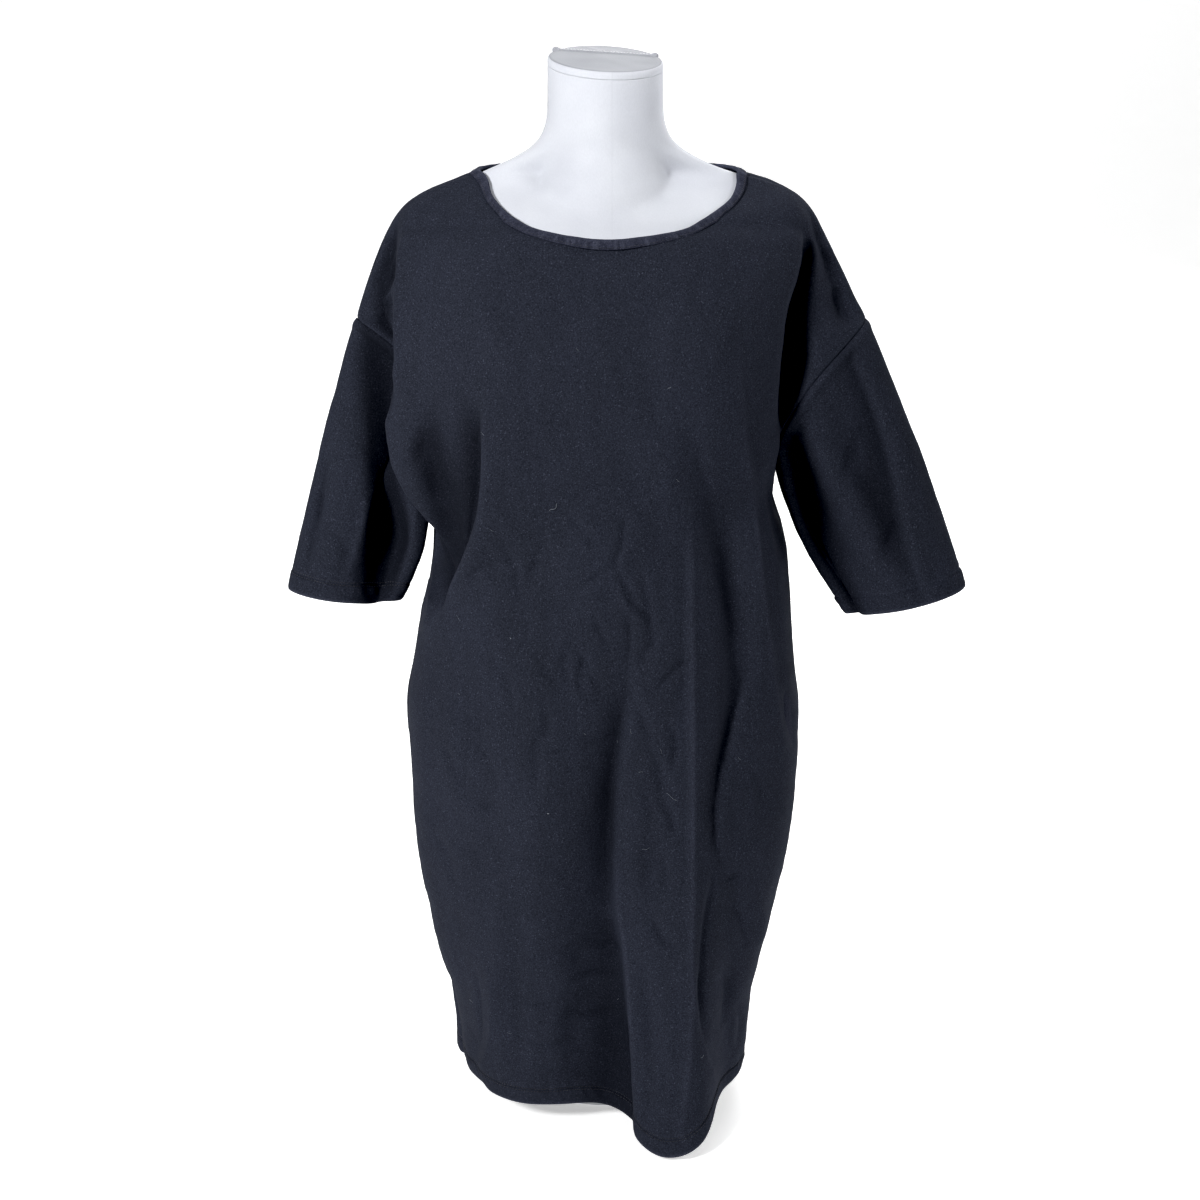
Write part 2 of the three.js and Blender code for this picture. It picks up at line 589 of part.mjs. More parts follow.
function sleeveWall(side) {
  const grid = sleeveGrid(side);
  const normals = ringNormals(grid, side === 'left');
  SEAM_FRAMES[side].forEach(({ normal, intoSleeve }, c) => {
    const under = Math.max(-Math.cos(SLEEVE_TURNS[c] * Math.PI), 0);
    normals[0][c] = normal;
    grid[0][c] = moved(grid[0][c], intoSleeve, SEAM_GAP + UNDERARM_EASE * under ** 2);
  });
  const inner = grid.map((row, r) => row.map((p, c) => moved(p, normals[r][c], -CLOTH)));
  return side === 'right' ? wall(grid, inner, true) : wall(reversed(grid), reversed(inner), true);
}

// Wall of a panel. Its rims face along the side and shoulder seams, and meet the sleeves'
// rims along the armholes.
function panelWall(face) {
  const depthSign = face === 'front' ? -1 : 1;
  const grid = panelGrid(face);
  const normals = gridNormals(grid, face === 'back');
  for (const side of ['left', 'right']) {
    const edge = side === 'left' ? 0 : PANEL_US[face].length - 1;
    LEVELS.forEach((level, r) => {
      const k = SKIRT_ROWS + ARMHOLE_ROWS - r;
      if (k > 0 && k < ARMHOLE_ROWS) {
        const turn = face === 'front' ? k : (2 * ARMHOLE_ROWS - k) % (2 * ARMHOLE_ROWS);
        normals[r][edge] = SEAM_FRAMES[side][turn].normal.clone();
      } else {
        normals[r][edge].y = 0;
        normals[r][edge].normalize();
        grid[r][edge][1] += depthSign * SEAM_GAP / 2;
      }
    });
  }
  const inner = grid.map((row, r) => row.map((p, c) => moved(p, normals[r][c], -CLOTH)));
  return face === 'front' ? wall(grid, inner) : wall(reversed(grid), reversed(inner));
}

// ---- Neck band ----

// The turned edge lies on the front and the back panel, along the neckline.
function neckBand() {
  const ring = [];
  for (const [face, us] of [['front', PANEL_US.front], ['back', [...PANEL_US.back].reverse()]]) {
    for (const u of us.slice(0, -1)) ring.push({ face, u });
  }
  const lowered = ring.map(({ face, u }) => {
    const top = facetPoint(face, u, SHOULDER_POINT);
    const below = facetPoint(face, u, SHOULDER_POINT - BAND_PROBE);
    const length = Math.hypot(...top.map((value, axis) => value - below[axis]));
    return facetPoint(face, u, SHOULDER_POINT - BAND_PROBE * BAND_WIDTH / length);
  });
  const upper = ring.map(({ face, u }) => panelPoint(face, u, SHOULDER_POINT));
  const grid = [lowered, upper];
  const normals = ringNormals(grid, false);
  const shell = (distance) => grid.map((row, r) => row.map((p, c) => (
    moved(p, normals[r][c], distance))));
  return wall(shell(BAND_GAP + BAND_CLOTH), shell(BAND_GAP), true);
}

// ---- Pocket bags ----

// The bag's upper edge slopes a little and its lower edge is rounded.
function pocketBag(side) {
  const us = POCKET_COLUMNS.map((u) => (side === 'left' ? -u : u)).sort((a, b) => a - b);
  const span = Math.max(...POCKET_COLUMNS) - Math.min(...POCKET_COLUMNS);
  const grid = Array.from({ length: POCKET_ROWS + 1 }, (_, r) => us.map((u) => {
    const inward = (Math.max(...POCKET_COLUMNS) - Math.abs(u)) / span;
    const sag = Math.sin(Math.PI * (0.5 + POCKET.round * (inward - 0.5)));
    const bottom = POCKET.mouthBottom + (POCKET.bagBottom - POCKET.mouthBottom) * sag;
    const top = POCKET.mouthTop - POCKET.slope * inward;
    return facetPoint('front', u, bottom + (top - bottom) * r / POCKET_ROWS);
  }));
  const normals = gridNormals(grid, false);
  const shell = (depth) => grid.map((row, r) => row.map((p, c) => (
    moved(p, normals[r][c], -depth))));
  const outside = CLOTH + POCKET.clear;
  return wall(shell(outside), shell(outside + POCKET.cloth));
}

// ---- Form and stand ----

// Reach of the form's shoulders at a height and a direction in plan. Above the torso table they
// keep close under the cloth, up to where the neck's own table draws them in.
function shoulderReach(z, cosine, sine) {
  const side = cosine < 0 ? 'left' : 'right';
  const face = sine < 0 ? 'front' : 'back';
  if (z <= TORSO[TORSO.length - 1].z) {
    return 1 / Math.hypot(cosine / column(TORSO, 'side', z), sine / column(TORSO, face, z));
  }
  const covered = Math.min(z + FORM_INSET, SHOULDER_POINT);
  const across = Math.min(column(BODY, side, covered) - FORM_INSET, column(NECK, 'side', z));
  const above = z + FORM_INSET > SHOULDER_POINT;
  const deep = above ? column(NECK, face, z) : column(BODY, face, covered) - FORM_INSET;
  return 1 / Math.hypot(cosine / across, sine / deep);
}

function formPoint(z, angle) {
  const cosine = Math.cos(angle);
  const sine = Math.sin(angle);
  const neck = column(NECK, 'radius', z);
  const shoulder = shoulderReach(z, cosine, sine);
  const reach = z < NECK[0].z ? shoulder
    : (shoulder ** BLEND_POWER + neck ** BLEND_POWER) ** (1 / BLEND_POWER);
  return [reach * cosine, reach * sine, z];
}

// Closed body through rings of points, with a flat lid at each end.
function lofted(rings) {
  const count = rings[0].length;
  const positions = rings.flat(2);
  const index = [];
  for (let r = 0; r < rings.length - 1; r += 1) {
    for (let c = 0; c < count; c += 1) {
      const next = (c + 1) % count;
      const a = r * count + c;
      const b = r * count + next;
      index.push(a, b, b + count, a, b + count, a + count);
    }
  }
  const lid = (ring, up) => {
    const middle = positions.length / 3;
    const points = rings[ring];
    positions.push(...[0, 1, 2].map((axis) => (
      points.reduce((sum, p) => sum + p[axis], 0) / count)));
    for (let c = 0; c < count; c += 1) {
      const a = ring * count + c;
      const b = ring * count + (c + 1) % count;
      index.push(...(up ? [a, b, middle] : [b, a, middle]));
    }
  };
  lid(0, false);
  lid(rings.length - 1, true);
  const geometry = new THREE.BufferGeometry();
  geometry.setAttribute('position', new THREE.Float32BufferAttribute(positions, 3));
  geometry.setIndex(index);
  geometry.computeVertexNormals();
  return geometry;
}

// Directions around the form.
const formAngles = Array.from({ length: TORSO_COLUMNS }, (_, i) => {
  const even = 2 * Math.PI * i / TORSO_COLUMNS;
  return Math.atan2(SHOULDER_FOCUS * Math.sin(even), Math.cos(even));
});

function capHeight(x, y) {
  return NECK_TOP + CAP_TILT * y + CAP_ROLL * x;
}

function torso() {
  const rings = FORM_LEVELS.map((z) => formAngles.map((angle) => formPoint(z, angle)));
  rings.push(formAngles.map((angle) => {
    const [x, y] = formPoint(NECK_TOP, angle);
    return [x, y, capHeight(x, y)];
  }));
  return lofted(rings);
}

// The plate on top of the neck, leaning with it.
function neckCap() {
  const ring = (scale, lift) => formAngles.map((angle) => {
    const [x, y] = formPoint(NECK_TOP, angle).map((value) => value * scale);
    return [x, y, capHeight(x, y) + lift];
  });
  return lofted([
    ring(0.985, REST_GAP),
    ring(1, REST_GAP + CAP_EDGE),
    ring(1, CAP_THICK - CAP_EDGE),
    ring(0.96, CAP_THICK),
  ]);
}

function upright(radius, height, sides) {
  const geometry = new THREE.CylinderGeometry(radius, radius, height, sides);
  geometry.rotateX(Math.PI / 2);
  return geometry;
}

// ---- The object ----

const COLOURS = { cloth: 0x23262e, band: 0x262932, form: 0xe9eaee, cap: 0xa9abb0, steel: 0xb9bcc0 };

function add(group, name, geometry, color, roughness, metalness, position = [0, 0, 0]) {
  const material = new THREE.MeshStandardMaterial({ color, roughness, metalness });
  const mesh = new THREE.Mesh(geometry, material);
  mesh.name = name;
  mesh.position.set(...position);
  group.add(mesh);
}

const dress = new THREE.Group();
add(dress, 'front_panel', panelWall('front'), COLOURS.cloth, 0.95, 0);
add(dress, 'back_panel', panelWall('back'), COLOURS.cloth, 0.95, 0);
add(dress, 'neck_band', neckBand(), COLOURS.band, 0.95, 0);
for (const side of ['left', 'right']) {
  add(dress, `sleeve_${side}`, sleeveWall(side), COLOURS.cloth, 0.95, 0);
  add(dress, `pocket_bag_${side}`, pocketBag(side), COLOURS.cloth, 0.95, 0);
}

const form = new THREE.Group();
const poleFoot = BASE_THICK + REST_GAP;
const poleHead = TORSO[0].z - REST_GAP;
add(form, 'form_torso', torso(), COLOURS.form, 0.8, 0);
add(form, 'form_neck_cap', neckCap(), COLOURS.cap, 0.7, 0);
add(form, 'form_pole', upright(POLE_RADIUS, poleHead - poleFoot, 24), COLOURS.steel, 0.35, 1,
  [0, POLE_Y, (poleHead + poleFoot) / 2]);
add(form, 'form_base', upright(BASE_RADIUS, BASE_THICK, 48), COLOURS.steel, 0.4, 1,
  [0, BASE_Y, BASE_THICK / 2]);

const object = new THREE.Group();
object.add(dress, form);

export default object;
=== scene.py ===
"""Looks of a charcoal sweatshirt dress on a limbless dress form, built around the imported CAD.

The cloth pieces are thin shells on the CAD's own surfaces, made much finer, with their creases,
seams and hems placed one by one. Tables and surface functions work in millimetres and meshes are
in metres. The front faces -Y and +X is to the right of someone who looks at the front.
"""
import math

import bpy
import numpy as np
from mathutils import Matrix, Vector


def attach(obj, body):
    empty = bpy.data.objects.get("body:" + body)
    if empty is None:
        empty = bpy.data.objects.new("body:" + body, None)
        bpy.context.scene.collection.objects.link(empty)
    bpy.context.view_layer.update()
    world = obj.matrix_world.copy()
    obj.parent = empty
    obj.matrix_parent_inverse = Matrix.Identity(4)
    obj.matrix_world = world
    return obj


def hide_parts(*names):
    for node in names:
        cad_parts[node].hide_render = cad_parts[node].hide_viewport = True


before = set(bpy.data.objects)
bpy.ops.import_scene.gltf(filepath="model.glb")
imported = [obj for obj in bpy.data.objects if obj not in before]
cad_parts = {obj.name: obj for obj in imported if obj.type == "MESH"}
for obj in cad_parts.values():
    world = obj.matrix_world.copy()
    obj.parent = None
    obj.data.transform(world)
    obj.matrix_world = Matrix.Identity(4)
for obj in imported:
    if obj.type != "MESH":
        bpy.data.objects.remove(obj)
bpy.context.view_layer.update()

MM = 0.001

# ---- Sizes shared with the CAD, in millimetres ----
SHOULDER_POINT = 966
CHEST = 820
ARMHOLE_TOP = 826
UNDERARM = 698
HEM = 30
FORM_INSET = 2.2
BLEND_POWER = 14
NECK_TOP = 1062
CAP_TILT = 0.15
CAP_ROLL = -0.05
TUCK_CLEAR = 10
BACK_LIFT = 0.1
FOLD_FADE = 50
FOLD_HOLD = 0.8

# Height, then reach of the dress to the left, right, front and back.
BODY = np.array([
    (30, 150, 147, 107, 113), (75, 155, 152, 111, 115), (120, 161, 155, 116, 117),
    (165, 174, 163, 121, 119), (210, 181, 172, 127, 121), (300, 191, 188, 137, 125),
    (390, 198, 195, 144, 128), (435, 199, 194, 145, 128), (480, 190, 188, 144, 126),
    (540, 180, 183, 141, 121), (583, 172, 181, 139, 116), (624, 169, 173, 137, 112),
    (665, 165, 161, 136, 109), (700, 168, 165, 137, 106), (745, 168, 168, 136, 104),
    (796, 180, 180, 131, 104), (826, 240, 252, 125, 103), (843, 235, 242, 121, 102),
    (862, 228, 233, 115, 101), (885, 219, 221, 109, 98), (900, 213, 213, 104, 95),
    (915, 205, 205, 98, 91), (929, 196, 197, 82, 87), (938, 186, 189, 67, 84),
    (948, 168, 175, 46, 77), (957, 147, 154, 28, 67), (966, 119, 125, 15, 50),
], float)
BODY_COLUMN = {"left": 1, "right": 2, "front": 3, "back": 4}

# Share of the quarter turn at each inner column line, and how square the section is there.
SKIRT_SECTION = ([0.38, 0.66, 0.80, 0.90], 2.5)
SHOULDER_SECTION = ([0.24, 0.42, 0.56, 0.78], 2)

# Height, then reach and depth of the bust, body crest, valley and arm crest.
TUCK = {
    ("front", "left"): [
        (612, 106, 119, 163, 76, 172, 50, 169, 25), (645, 109, 122, 176, 71, 173, 47, 167, 24),
        (674, 112, 123, 194, 68, 172, 48, 166, 24), (703, 112, 124, 206, 67, 174, 46, 168, 26),
        (745, 111, 125, 210, 67, 184, 46, 174, 41), (780, 110, 123, 209, 66, 184, 44, 179, 38),
        (799, 110, 122, 207, 65, 186, 37, 190, 30), (820, 110, 119, 204, 62, 191, 28, 208, 29),
        (843, 109, 116, 201, 59, 200, 24, 217, 26), (880, 108, 106, 194, 50, 201, 33, 211, 19),
        (912, 104, 93, 187, 44, 194, 28, 200, 14),
    ],
    ("front", "right"): [
        (660, 98, 118, 150, 72, 163, 44, 162, 20), (700, 100, 120, 160, 70, 166, 41, 164, 20),
        (720, 102, 122, 163, 69, 168, 43, 168, 36), (745, 103, 123, 162, 69, 171, 14, 175, 37),
        (768, 104, 122, 162, 69, 174, 0, 186, 43), (796, 106, 121, 163, 69, 177, -2, 196, 43),
        (835, 108, 117, 166, 67, 178, 2, 195, 37), (873, 108, 108, 176, 61, 184, 14, 197, 31),
        (912, 104, 94, 181, 49, 191, 26, 198, 16),
    ],
    ("back", "left"): [
        (665, 98, 94, 150, 62, 163, 38, 165, 18), (703, 100, 94, 156, 60, 166, 36, 167, 21),
        (720, 102, 94, 159, 61, 170, 36, 172, 32), (745, 104, 94, 161, 62, 173, 26, 181, 40),
        (796, 108, 95, 168, 62, 182, 22, 206, 48), (843, 108, 94, 172, 58, 186, 21, 214, 40),
        (885, 108, 91, 172, 52, 188, 24, 206, 26), (912, 104, 86, 170, 46, 188, 26, 200, 15),
    ],
    ("back", "right"): [
        (665, 98, 94, 149, 62, 161, 38, 162, 18), (703, 99, 94, 155, 60, 164, 36, 165, 21),
        (720, 100, 94, 158, 61, 168, 36, 170, 32), (745, 102, 94, 161, 62, 173, 26, 182, 40),
        (796, 106, 95, 166, 62, 179, 22, 211, 49), (843, 108, 94, 170, 58, 184, 20, 217, 40),
        (885, 108, 91, 171, 52, 187, 23, 207, 27), (912, 104, 86, 169, 46, 187, 26, 200, 15),
    ],
}
NECKLINE = {
    ("front", "left"): [914, 926.5, 946.5, 958.5, 964.7, SHOULDER_POINT],
    ("front", "right"): [914, 924.5, 942, 955, 964, SHOULDER_POINT],
    ("back", "left"): [954, 958, 961.5, 964, 965.3, SHOULDER_POINT],
    ("back", "right"): [954, 958, 961.5, 964, 965.3, SHOULDER_POINT],
}

# Long folds that the CAD has too: at, heights, how far out, left and right width, flatness.
FOLDS = {
    "front": [
        ([-112, -140, -186], [770, 640, 470], [2, 9, 2], 13, 34, 2),
        ([-150, -159, -166], [730, 630, 545], [-2, -13, -2], 12, 13, 2),
        ([138, 156, 188], [710, 590, 400], [1, 8, 2], 16, 14, 2),
        ([116, 127, 128], [720, 560, 200], [-2, -8, -3], 12, 15, 2),
        ([92, 90, 78], [620, 330, 30], [1, 9, 16], 26, 18, 2),
        ([14, -4, -12], [520, 270, 60], [-1, -12, -5], 30, 22, 2),
        ([66, 60, 55], [330, 160, 30], [0, 16, 56], 36, 46, 3),
        ([-60, -70, -84], [480, 240, 30], [1, 6, 5], 34, 30, 2),
        ([-146, -147, -136], [260, 130, 30], [-1, -6, -8], 14, 12, 2),
    ],
    "back": [
        ([-86, -92, -104], [800, 420, 30], [1, 9, 13], 26, 30, 2),
        ([-30, -24, -34], [640, 300, 30], [-1, -10, -13], 24, 24, 2),
        ([34, 42, 38], [700, 330, 30], [1, 8, 14], 26, 22, 2),
        ([96, 104, 92], [760, 360, 30], [-2, -8, -9], 22, 20, 2),
        ([-146, -150, -142], [300, 150, 30], [0, 4, 11], 18, 18, 2),
    ],
}
HEM_DIP = {"at": 60, "width": 44, "depth": 25, "fades_by": 230}

ARMHOLE = {
    "left": {"top": 241, "under": 168, "front": 37, "back": 47, "draw": (4, 1.3)},
    "right": {"top": 252, "under": 165, "front": 44, "back": 47, "draw": (1.7, 1.2)},
}
SLEEVE = {
    "left": {"outer": (316, 556), "inner": (203, 544), "depth": 37, "bow": (3, 8), "late": 1.6},
    "right": {"outer": (360, 558), "inner": (239, 528), "depth": 37, "bow": (4, 12), "late": 0.8},
}
# Turn, width, tuck, first and last drop.
SLEEVE_FOLDS = {
    "left": [(0.66, 0.13, 15, 0.0, 1.15), (0.30, 0.09, 4, 0.2, 1.0)],
    "right": [(0.70, 0.12, 16, 0.0, 1.2), (0.34, 0.10, 3, 0.1, 1.1)],
}
POCKET = {"top": 545, "bottom": 398, "bag": 340, "slope": 18, "round": 0.7, "clear": 2.7}

# Height, side, front and back of the form, then of its neck with the radius first.
TORSO = np.array([
    (262, 98, 64, 72), (268, 124, 84, 92), (290, 142, 97, 107), (340, 155, 104, 115),
    (400, 159, 107, 117), (460, 153, 101, 111), (540, 127, 90, 90), (620, 124, 98, 84),
    (690, 133, 115, 87), (745, 141, 127, 91), (796, 149, 121, 95), (843, 158, 112, 95),
    (885, 170, 101, 92), (912, 181, 89, 81), (920, 187, 81, 79), (929, 188, 74, 79),
    (938, 179, 62, 77),
], float)
NECK = np.array([
    (912, 70, 260, 60, 60), (937, 70, 230, 40, 55), (952, 66, 180, 25, 50),
    (962, 62, 130, 16, 47), (966, 60, 115, 15, 46), (970, 59, 104, 18, 46),
    (976, 57, 90, 24, 47), (990, 53, 67, 40, 49), (1005, 51, 56, 49, 51),
    (1020, 51, 52, 51, 51), (1062, 51, 51, 51, 51),
], float)

# ---- Creases, in millimetres ----
# Each row is a path, its width on the left and right of its direction, how far it stands out
# (+) or tucks in (-), and how sharp it is: 2 is a soft swell and 1 a pressed line. Paths on the
# front and back are (x, height), from the top down, so the left width is towards +X.
FRONT_CREASES = [
    # The apron-like fold from the left breast down to the left pocket, and the hollow beside it.
    ([(-113, 765), (-113, 737), (-116, 700), (-123, 661), (-132, 628), (-143, 598),
      (-152, 573), (-163, 548), (-176, 520)], 20, 5, 3.0, 1.2),
    ([(-120, 778), (-120, 735), (-121, 700), (-124, 670), (-131, 645), (-142, 616), (-152, 590),
      (-162, 560)], 5, 24, -10.0, 1.5),
    ([(-160, 776), (-163, 736), (-162, 700), (-156, 662)], 13, 14, -4.4, 1.8),
    ([(-190, 800), (-186, 758), (-176, 716)], 12, 16, 2.6, 1.8),
    ([(-198, 786), (-182, 738), (-168, 694), (-156, 652), (-150, 610)], 13, 15, -3.6, 1.8),
    ([(-172, 742), (-178, 718), (-184, 696)], 6, 6, -2.0, 1.7),
    ([(-172, 640), (-162, 604), (-156, 574), (-166, 540)], 4, 4, -3.0, 1.3),
    ([(-180, 618), (-172, 588), (-168, 560), (-178, 524)], 4, 4, 2.0, 1.4),
    # The trough on the right, and the pressed fold that goes on from it.
    ([(75, 780), (79, 751), (92, 700), (103, 661), (114, 623), (123, 583), (131, 543), (140, 496),
      (142, 466)], 13, 20, -4.0, 2),
    ([(140, 508), (133, 488), (126, 461), (120, 432), (115, 401), (111, 364), (111, 338),
      (115, 315), (124, 288)], 4, 20, -5.4, 1.3),
    ([(112, 288), (124, 285), (140, 289)], 4, 4, -1.8, 1.4),
    ([(113, 314), (109, 295), (103, 268), (99, 231), (97, 186), (98, 142), (103, 108), (108, 80)],
     6, 7, -3.6, 1.4),
    # The sharp ridge right of it, down to the right pocket.
    ([(119, 836), (122, 803), (128, 738), (136, 690), (142, 642), (148, 594), (155, 543),
      (162, 494), (171, 443), (179, 400)], 5, 20, 3.0, 1.2),
    ([(152, 700), (162, 650), (170, 600)], 6, 5, -1.8, 1.6),
    ([(176, 478), (181, 452), (187, 424), (190, 404)], 4, 5, -2.4, 1.4),
    # The pressed vertical ridge and its branch near the hem.
    ([(79, 690), (81, 640), (82, 570), (83, 500), (85, 400), (86, 300), (86, 230), (88, 180),
      (95, 140), (103, 100), (112, 55), (118, 22)], 5, 4, 3.2, 1.1),
    ([(74, 650), (75, 560), (76, 480), (79, 400), (80, 290)], 4, 7, -1.2, 1.5),
    ([(88, 196), (86, 150), (84, 100), (79, 50), (77, 20)], 5, 5, 2.0, 1.2),
    ([(97, 200), (96, 150), (100, 104)], 4, 4, -1.4, 1.4),
    # The centre trough, which opens out towards the hem.
    ([(25, 534), (22, 510), (16, 468), (9, 427), (5, 380), (3, 327), (2, 274), (4, 225), (8, 180)],
     6, 17, -6.4, 1.45),
    ([(8, 250), (13, 160), (16, 100), (17, 40), (17, -60), (17, -190)], 8, 36, -9.0, 1.7),
    ([(6, 330), (14, 260), (19, 222), (24, 165), (27, 110), (27, 60), (25, 16)], 5, 7, 2.6, 1.2),
    # Star of small wrinkles in the middle.
    ([(20, 664), (15, 636), (8, 614)], 3, 4, -1.4, 1.5),
    ([(6, 628), (19, 600), (30, 582), (44, 570)], 3, 4, -1.2, 1.5),
    ([(14, 624), (-10, 607), (-40, 593)], 3, 4, -1.3, 1.5),
    ([(14, 610), (16, 590), (24, 576), (44, 560)], 4, 4, 1.2, 1.6),
    ([(-12, 580), (-4, 555), (6, 534)], 3, 4, -1.3, 1.5),
    ([(22, 584), (24, 556), (23, 522)], 3, 4, -1.3, 1.5),
    ([(44, 490), (62, 510), (84, 530)], 4, 3, -1.7, 1.5),
    ([(20, 500), (32, 474), (46, 446)], 4, 4, -1.9, 1.5),
    ([(-30, 556), (-37, 520), (-34, 488)], 4, 4, -1.2, 1.7),
    ([(-14, 534), (-24, 512), (-19, 488)], 4, 3, -1.2, 1.6),
    ([(-50, 646), (-66, 616), (-74, 580)], 5, 6, -1.3, 1.8),
    ([(-100, 646), (-84, 612), (-80, 580)], 4, 5, -1.3, 1.7),
    ([(-84, 640), (-44, 652), (-10, 644)], 4, 4, -0.9, 1.8),
    ([(40, 446), (52, 420), (57, 388)], 6, 6, -1.3, 1.8),
    ([(-50, 476), (-66, 430), (-62, 388)], 7, 6, -1.3, 1.8),
    ([(-146, 270), (-90, 262), (-34, 264)], 4, 4, -0.9, 1.6),
    ([(46, 254), (58, 232), (74, 220)], 4, 4, -1.9, 1.5),
    ([(-130, 594), (-108, 614), (-88, 610)], 3, 4, -1.2, 1.6),
    ([(-86, 606), (-68, 614), (-48, 628)], 3, 4, -1.0, 1.6),
    ([(-48, 682), (-22, 655), (2, 628)], 3, 4, -1.0, 1.6),
    ([(-34, 588), (-12, 603), (10, 615)], 3, 4, -1.0, 1.6),
    ([(-28, 540), (-16, 516), (0, 490)], 4, 4, -1.3, 1.6),
    ([(-64, 530), (-50, 510), (-36, 490)], 3, 4, -1.0, 1.6),
    ([(-58, 494), (-55, 466), (-53, 436)], 4, 4, -1.2, 1.6),
    ([(34, 610), (42, 574), (46, 524)], 4, 4, -1.2, 1.6),
    ([(30, 520), (40, 536), (50, 549)], 3, 4, -1.3, 1.6),
    ([(-108, 524), (-92, 504), (-86, 474)], 4, 5, -1.2, 1.7),
    ([(-30, 455), (-4, 446), (20, 450)], 3, 4, -0.9, 1.6),
    ([(34, 404), (44, 372), (42, 336)], 5, 5, -1.0, 1.8),
    ([(-96, 696), (-40, 690), (20, 698)], 3, 4, -0.7, 1.7),
    ([(-130, 440), (-112, 420), (-104, 386)], 5, 5, -1.2, 1.8),
    ([(-20, 700), (10, 694), (60, 700)], 3, 4, -0.7, 1.7),
    ([(-90, 806), (-30, 800), (30, 806)], 5, 6, -1.0, 1.7),
    ([(-20, 222), (-2, 214), (16, 216)], 4, 4, -1.2, 1.6),
    ([(-34, 176), (-8, 182), (14, 176)], 4, 4, -1.2, 1.6),
    ([(-40, 140), (-16, 132), (10, 138)], 5, 4, -1.2, 1.6),
    ([(-76, 60), (-40, 66), (-10, 58)], 5, 4, -1.0, 1.7),
    ([(52, 108), (60, 84), (58, 56)], 4, 4, -1.9, 1.6),
    ([(36, 84), (42, 60), (38, 36)], 4, 4, -1.9, 1.6),
    # Fainter lines pressed across the skirt, and a few on the chest.
    ([(-150, 470), (-128, 458), (-104, 462)], 4, 5, -1.4, 1.7),
    ([(-140, 380), (-118, 372), (-96, 378)], 4, 5, -1.4, 1.7),
    ([(-120, 330), (-80, 322), (-30, 326)], 4, 4, -1.2, 1.6),
    ([(-110, 300), (-70, 305), (-40, 300)], 4, 4, 1.0, 1.7),
    ([(-96, 238), (-60, 230), (-22, 236)], 5, 4, -1.4, 1.7),
    ([(-92, 206), (-50, 212), (-14, 204)], 4, 4, -1.2, 1.7),
    ([(-100, 160), (-64, 150), (-30, 156)], 5, 4, -1.2, 1.7),
    ([(-88, 108), (-58, 100), (-24, 106)], 5, 5, -1.2, 1.7),
    ([(-70, 84), (-44, 90), (-20, 82)], 4, 4, 1.0, 1.7),
    ([(-170, 330), (-156, 300), (-150, 268)], 6, 6, -1.8, 1.8),
    ([(-160, 430), (-148, 410), (-140, 384)], 5, 5, -1.5, 1.8),
    ([(60, 470), (68, 440), (64, 410)], 4, 4, -1.4, 1.7),
    ([(50, 390), (62, 372), (70, 346)], 4, 4, -1.5, 1.7),
    ([(56, 330), (60, 300), (52, 270)], 4, 4, -1.4, 1.7),
    ([(140, 410), (152, 380), (156, 346)], 6, 5, -1.8, 1.8),
    ([(126, 260), (138, 232), (142, 196)], 6, 6, -2.0, 1.8),
    ([(150, 250), (160, 220), (158, 186)], 6, 6, 1.8, 1.8),
    ([(116, 180), (124, 150), (120, 112)], 5, 5, -2.1, 1.7),
    ([(136, 130), (142, 100), (138, 66)], 5, 5, -1.8, 1.7),
    ([(-60, 770), (-30, 764), (4, 768)], 5, 5, -1.0, 1.7),
    ([(20, 740), (52, 748), (84, 742)], 5, 5, -0.9, 1.7),
    ([(-80, 730), (-50, 722), (-24, 728)], 4, 5, -0.9, 1.7),
    # Soft swells of the belly and skirt.
    ([(-60, 560), (-72, 470), (-66, 380), (-76, 300)], 26, 22, 1.6, 2),
    ([(-112, 480), (-118, 420), (-114, 360), (-106, 300)], 14, 16, -1.6, 1.9),
    ([(-103, 290), (-107, 220), (-109, 150), (-106, 90), (-104, 30)], 10, 12, 2.2, 1.6),
    ([(-86, 256), (-90, 170), (-86, 110), (-84, 50)], 10, 8, -1.8, 1.8),
    ([(-133, 414), (-137, 398), (-138, 380)], 4, 4, -2.0, 1.4),
    ([(-142, 332), (-128, 316), (-122, 296)], 6, 6, -1.1, 1.7),
    ([(46, 350), (44, 280), (50, 214)], 13, 11, -1.6, 1.9),
    ([(38, 214), (42, 150), (44, 104), (46, 48)], 8, 7, -2.6, 1.6),
    ([(62, 186), (64, 120), (62, 40)], 8, 8, 1.5, 1.8),
    ([(-60, 230), (-66, 150), (-58, 60)], 16, 18, -1.6, 2),
    ([(-120, 196), (-113, 150), (-114, 111), (-126, 58), (-132, 26)], 4, 5, 1.9, 1.3),
    ([(-135, 190), (-128, 140), (-129, 96), (-140, 44)], 5, 5, -2.2, 1.5),
    ([(-26, 176), (-34, 110), (-30, 34)], 14, 14, -1.5, 2),
    # The chest, drawn lightly from the shoulders.
    ([(-150, 905), (-120, 868), (-96, 820), (-84, 770)], 16, 13, 1.5, 1.9),
    ([(150, 902), (122, 862), (104, 812), (98, 770)], 13, 16, 1.3, 1.9),
    ([(-34, 896), (-26, 850), (-34, 800)], 18, 18, -0.8, 2),
    ([(46, 892), (40, 846), (46, 790), (60, 740)], 16, 18, -0.9, 2),
    ([(96, 905), (84, 880), (80, 852)], 9, 8, -0.8, 1.8),
    ([(-98, 912), (-88, 886), (-86, 862)], 8, 9, -0.9, 1.8),
    # The folds where the body turns into the dropped shoulders.
    ([(-188, 918), (-193, 880), (-193, 846), (-196, 812), (-198, 770)], 11, 3, 2.2, 1.3),
    ([(-203, 938), (-209, 903), (-212, 872), (-213, 842), (-211, 812), (-210, 780), (-209, 740)],
